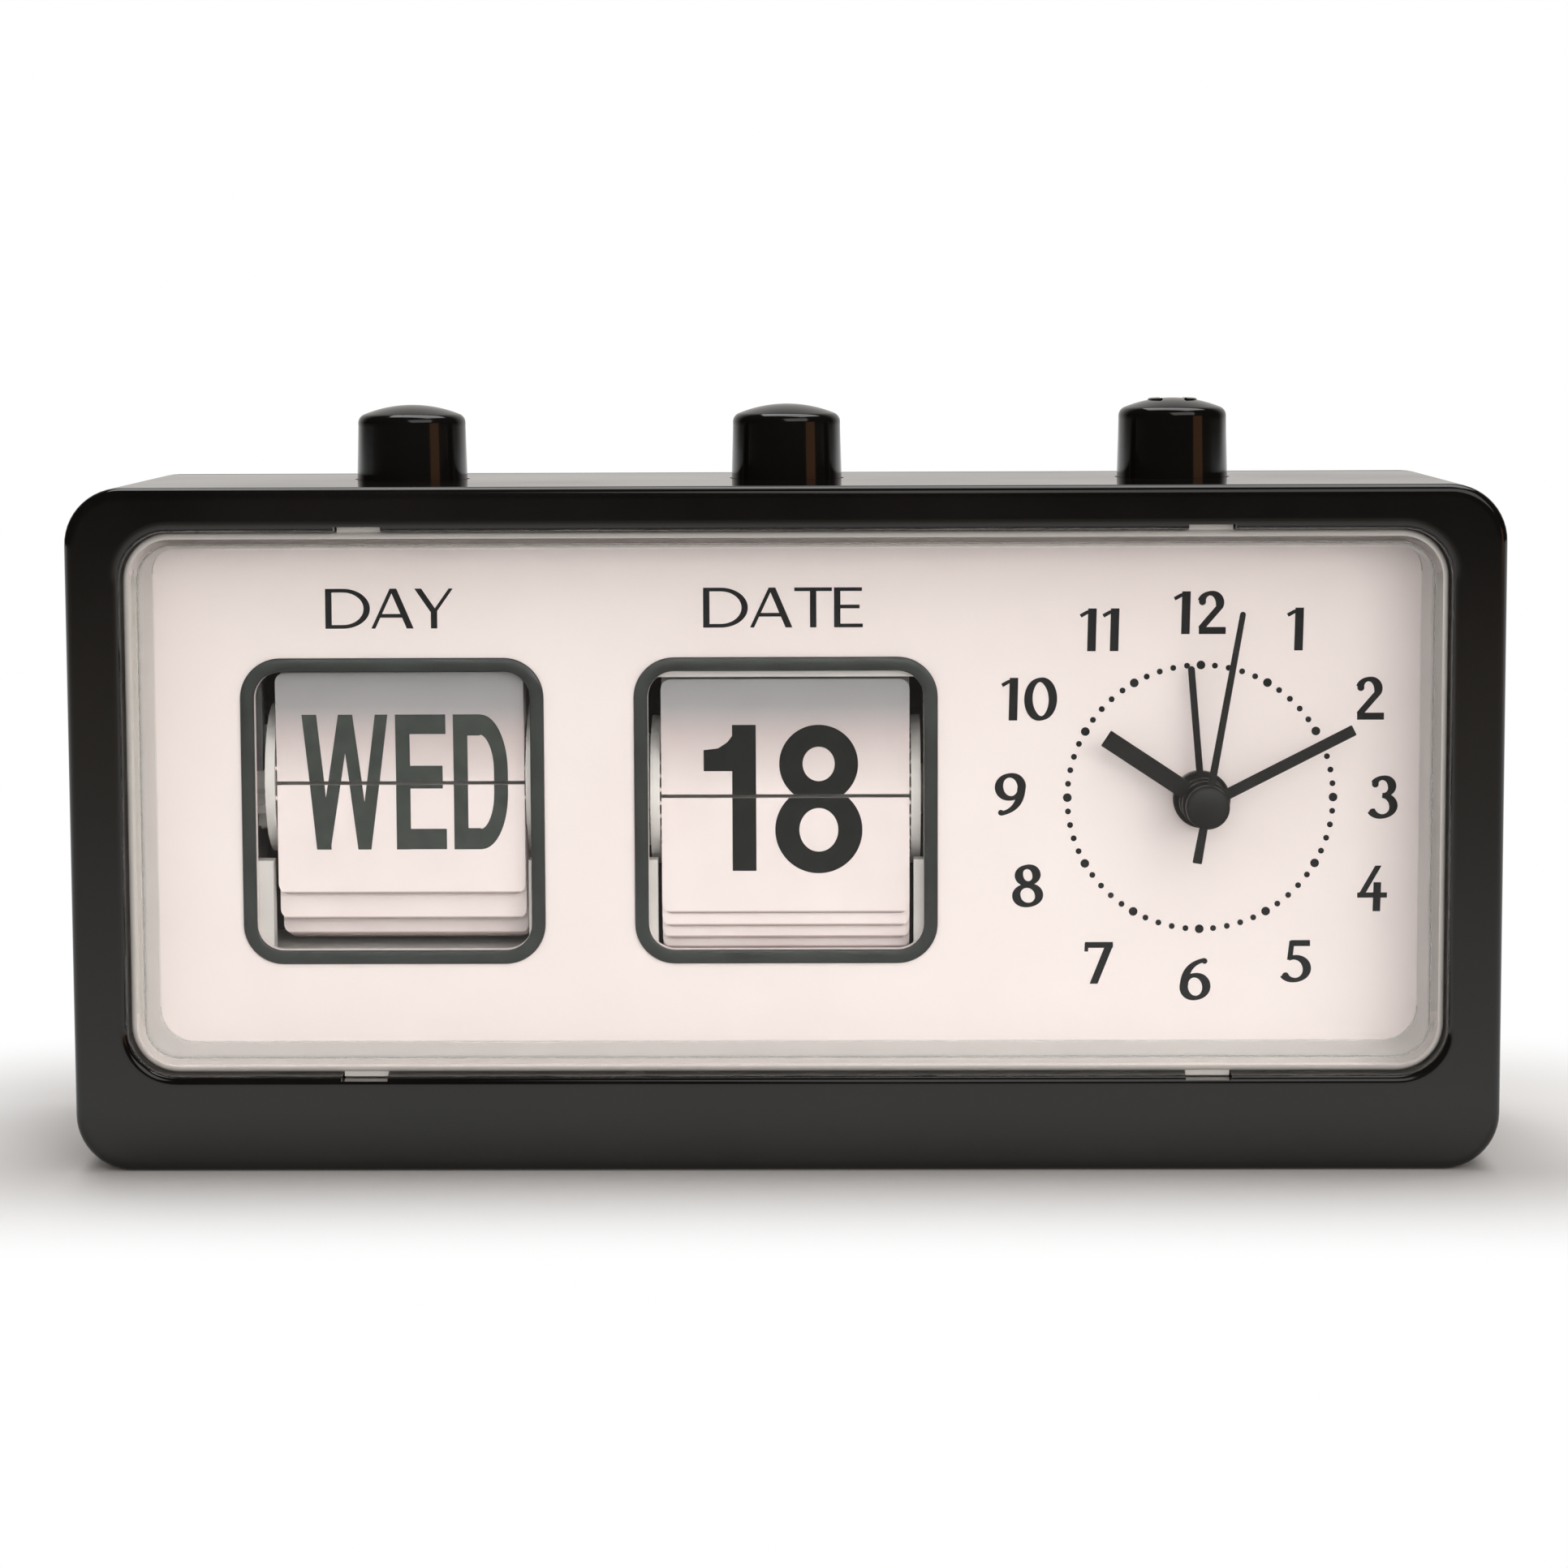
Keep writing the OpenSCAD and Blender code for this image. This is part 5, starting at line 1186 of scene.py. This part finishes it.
for material, nodes in INNER.items():
    for node in nodes:
        for holder in frame["nodes"][node].material_slots:
            holder.material = material
print("inner finishes on", sum(map(len, INNER.values())), "nodes")

# %% [markdown]
# Button springs
#
# A coil of steel wire under each collar lifts its button again. The wire's round section is carried along a
# helix from the seat to the collar. The coil rides on the case and keeps its shape when the button goes down.

# %% Coil springs
coil_turns = 5
wire_r = 0.35


def coil(low, high):
    """A wire along a helix: its round section stands on the coil's radius and climbs steadily as it turns."""
    turn = np.linspace(0, 2 * np.pi * coil_turns, 24 * coil_turns + 1)[:, None]
    across = np.linspace(0, 2 * np.pi, 10, endpoint=False)[None, :]
    centre = (low + high) / 2
    reach = (high[0] - low[0]) / 2 - wire_r + wire_r * np.cos(across)
    climb = low[2] + wire_r + (high[2] - low[2] - 2 * wire_r) * turn / turn[-1]
    x = centre[0] + reach * np.cos(turn)
    d = centre[1] + reach * np.sin(turn)
    return np.stack([x, d, climb + wire_r * np.sin(across)], -1)


for name in button_names:
    node, joint = name + "_spring", name.replace("_button", "_press")
    low, high = span(node)
    spring = piece(solid(name + "_coil", [skin(coil(low, high))]), steel, "root", [node])
    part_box(node)[0]
    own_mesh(spring)

# %% [markdown]
# Floor, light and camera
#
# The clock stands on a white sweep in a plain studio: a large soft lamp above and in front, a wide low one
# for the recessed dial, one overhead, one behind, and a small warm card at the side. The room in front is
# dim and warm and the sweep darkens towards it, which is what the polished face mirrors. The camera sees
# white all round.

# %% Floor
floor_low, floor_high = (-4.0, -5.0), (4.0, 4.0)
floor_n = 9
shadow_reach = 0.055
dim_from = -2.0
full_white = (1.0, 1.0, 1.0, 1.0)
x, y = np.meshgrid(np.linspace(floor_low[0], floor_high[0], floor_n),
                   np.linspace(floor_low[1], floor_high[1], floor_n))
floor_points = np.stack([x, y, np.zeros_like(x)], -1).reshape(-1, 3)
cells = np.arange(floor_n - 1)
first = (cells[:, None] * floor_n + cells[None, :]).reshape(-1, 1)
floor_mesh = bpy.data.meshes.new("floor")
floor_mesh.from_pydata(floor_points, [], (first + [0, 1, floor_n + 1, floor_n]).tolist())
floor = bpy.data.objects.new("floor", floor_mesh)
bpy.context.scene.collection.objects.link(floor)


def largest(tree, values):
    """The largest of several values, one Math node for each after the first."""
    top = values[0]
    for value in values[1:]:
        top = add(tree, "Math", {"operation": "MAXIMUM"}, links={0: top, 1: value}).outputs[0]
    return top


paper = bpy.data.materials.new("white_paper_sweep")
paper.use_nodes = True
tree = paper.node_tree
matt = tree.nodes["Principled BSDF"]
matt.inputs["Roughness"].default_value = 0.8
matt.inputs["Base Color"].default_value = linear("#f4f2f0")
place = add(tree, "TexCoord").outputs["Object"]
footprint = (body_w / 2 * MM, back_d / 2 * MM, 0.0)
away = add(tree, "VectorMath", {"operation": "ABSOLUTE"}, links={0: place})
outside = add(tree, "VectorMath", {"operation": "SUBTRACT"}, {1: footprint}, {0: away.outputs[0]})
beyond = add(tree, "VectorMath", {"operation": "MAXIMUM"}, links={0: outside.outputs[0]})
reach = add(tree, "VectorMath", {"operation": "LENGTH"}, links={0: beyond.outputs[0]})
smooth = {"interpolation_type": "SMOOTHSTEP"}
fade = add(tree, "MapRange", smooth, {"From Min": 0.0, "From Max": shadow_reach},
           {"Value": reach.outputs["Value"]})
ahead_y = add(tree, "SeparateXYZ", links={0: place}).outputs["Y"]
ahead_by = add(tree, "MapRange", sockets={"From Min": dim_from, "From Max": 0.0}, links={"Value": ahead_y})
dim_stops = [(0.0, "#332e2a"), (0.33, "#6b645c"), (0.65, "#9c948b"), (0.8, "#b6afa6"), (0.93, "#e1ddd8"),
             (1.0, "#ffffff")]
dimming = ramp(tree, ahead_by.outputs[0], dim_stops)
path = add(tree, "LightPath").outputs
mirrored = add(tree, "Mix", {"data_type": "RGBA"}, {6: full_white}, {0: path["Is Glossy Ray"], 7: dimming})
white = add(tree, "Emission", sockets={"Strength": 1.0}, links={"Color": mirrored.outputs[2]})
eye = largest(tree, [path["Is Camera Ray"], path["Is Glossy Ray"], path["Is Transmission Ray"]])
seen = add(tree, "Math", {"operation": "MULTIPLY"}, links={0: fade.outputs[0], 1: eye})
both = add(tree, "MixShader", links={0: seen.outputs[0], 1: matt.outputs[0], 2: white.outputs[0]})
tree.links.new(both.outputs[0], tree.nodes["Material Output"].inputs["Surface"])
floor_mesh.materials.append(paper)
print("floor", floor_low, floor_high)

# %% Surroundings
rear_from, rear_full = 0.4, 0.95
backdrop_share = 0.35
world = bpy.data.worlds.new("studio")
bpy.context.scene.world = world
world.use_nodes = True
tree = world.node_tree
compass = add(tree, "SeparateXYZ", links={0: add(tree, "TexCoord").outputs["Generated"]}).outputs["Y"]
behind = add(tree, "MapRange", smooth, {"From Min": rear_from, "From Max": rear_full},
             {"Value": compass}).outputs[0]
room = ramp(tree, behind, [(0.0, "#2e2925"), (1.0, "#b0a9a2")])
path = add(tree, "LightPath").outputs
backdrop = add(tree, "MapRange", sockets={"To Max": backdrop_share}, links={"Value": behind}).outputs[0]
mirror = add(tree, "Math", {"operation": "MULTIPLY"}, links={0: backdrop, 1: path["Is Glossy Ray"]})
shown = largest(tree, [path["Is Camera Ray"], path["Is Transmission Ray"], mirror.outputs[0]])
sky = add(tree, "Mix", {"data_type": "RGBA"}, {7: full_white}, {0: shown, 6: room})
tree.links.new(sky.outputs[2], tree.nodes["Background"].inputs["Color"])
bpy.context.scene.view_settings.view_transform = "Standard"


# %% Lamps
def softbox(name, at, aim, width, height, power, colour):
    """A rectangular lamp at a place, turned so that its light leaves towards the aim."""
    lamp = bpy.data.lights.new(name, "AREA")
    lamp.shape = "RECTANGLE"
    lamp.size, lamp.size_y = width, height
    lamp.energy = power
    lamp.color = linear(colour)[:3]
    holder = bpy.data.objects.new(name, lamp)
    back = np.array(at, float) - np.array(aim, float)
    back /= np.linalg.norm(back)
    right = np.cross((0, 0, 1), back)
    right /= np.linalg.norm(right)
    turn = Matrix(np.stack([right, np.cross(back, right), back], 1).tolist()).to_4x4()
    holder.matrix_world = Matrix.Translation(at) @ turn
    bpy.context.scene.collection.objects.link(holder)
    return holder


middle = (0, 0, body_h * MM / 2)
card_z = 0.13
softbox("key_softbox", (0.4, -0.9, 0.75), middle, width=1.0, height=0.7, power=3.1, colour="#fffaf6")
low_lamp = softbox("low_softbox", (0.25, -1.35, 0.34), middle, width=1.1, height=0.3, power=6.3,
                   colour="#fffaf6")
low_lamp.visible_glossy = False
softbox("top_softbox", (0.1, 0.25, 1.2), middle, width=1.2, height=0.8, power=9.0, colour="#ffffff")
rear_lamp = softbox("rear_softbox", (-0.3, 1.3, 0.7), middle, width=1.0, height=0.5, power=6.0,
                    colour="#ffffff")
rear_lamp.visible_glossy = False
softbox("warm_side_card", (1.2, -0.9, card_z), (0, 0, card_z), width=0.55, height=0.26, power=0.26,
        colour="#ffb27c")

# %% Camera
camera_spot = (6.74, -520, 103.98)
pitch, yaw, roll = 0.10758, -0.0132, -0.00383
focal_length, sensor_w = 98.727, 36.0
nearest = 0.01
camera_at = np.array(camera_spot) + front
ahead = np.array([np.sin(yaw) * np.cos(pitch), np.cos(yaw) * np.cos(pitch), -np.sin(pitch)])
level = np.array([np.cos(yaw), -np.sin(yaw), 0])
above = np.cross(level, ahead)
right = np.cos(roll) * level + np.sin(roll) * above
up = np.cos(roll) * above - np.sin(roll) * level
lens_data = bpy.data.cameras.new("camera")
lens_data.lens = focal_length
lens_data.sensor_width = sensor_w
lens_data.clip_start = nearest
camera = bpy.data.objects.new("camera", lens_data)
camera_turn = Matrix(np.stack([right, up, -ahead], 1).tolist()).to_4x4()
camera.matrix_world = Matrix.Translation((camera_at * MM).tolist()) @ camera_turn
bpy.context.scene.collection.objects.link(camera)
bpy.context.scene.camera = camera
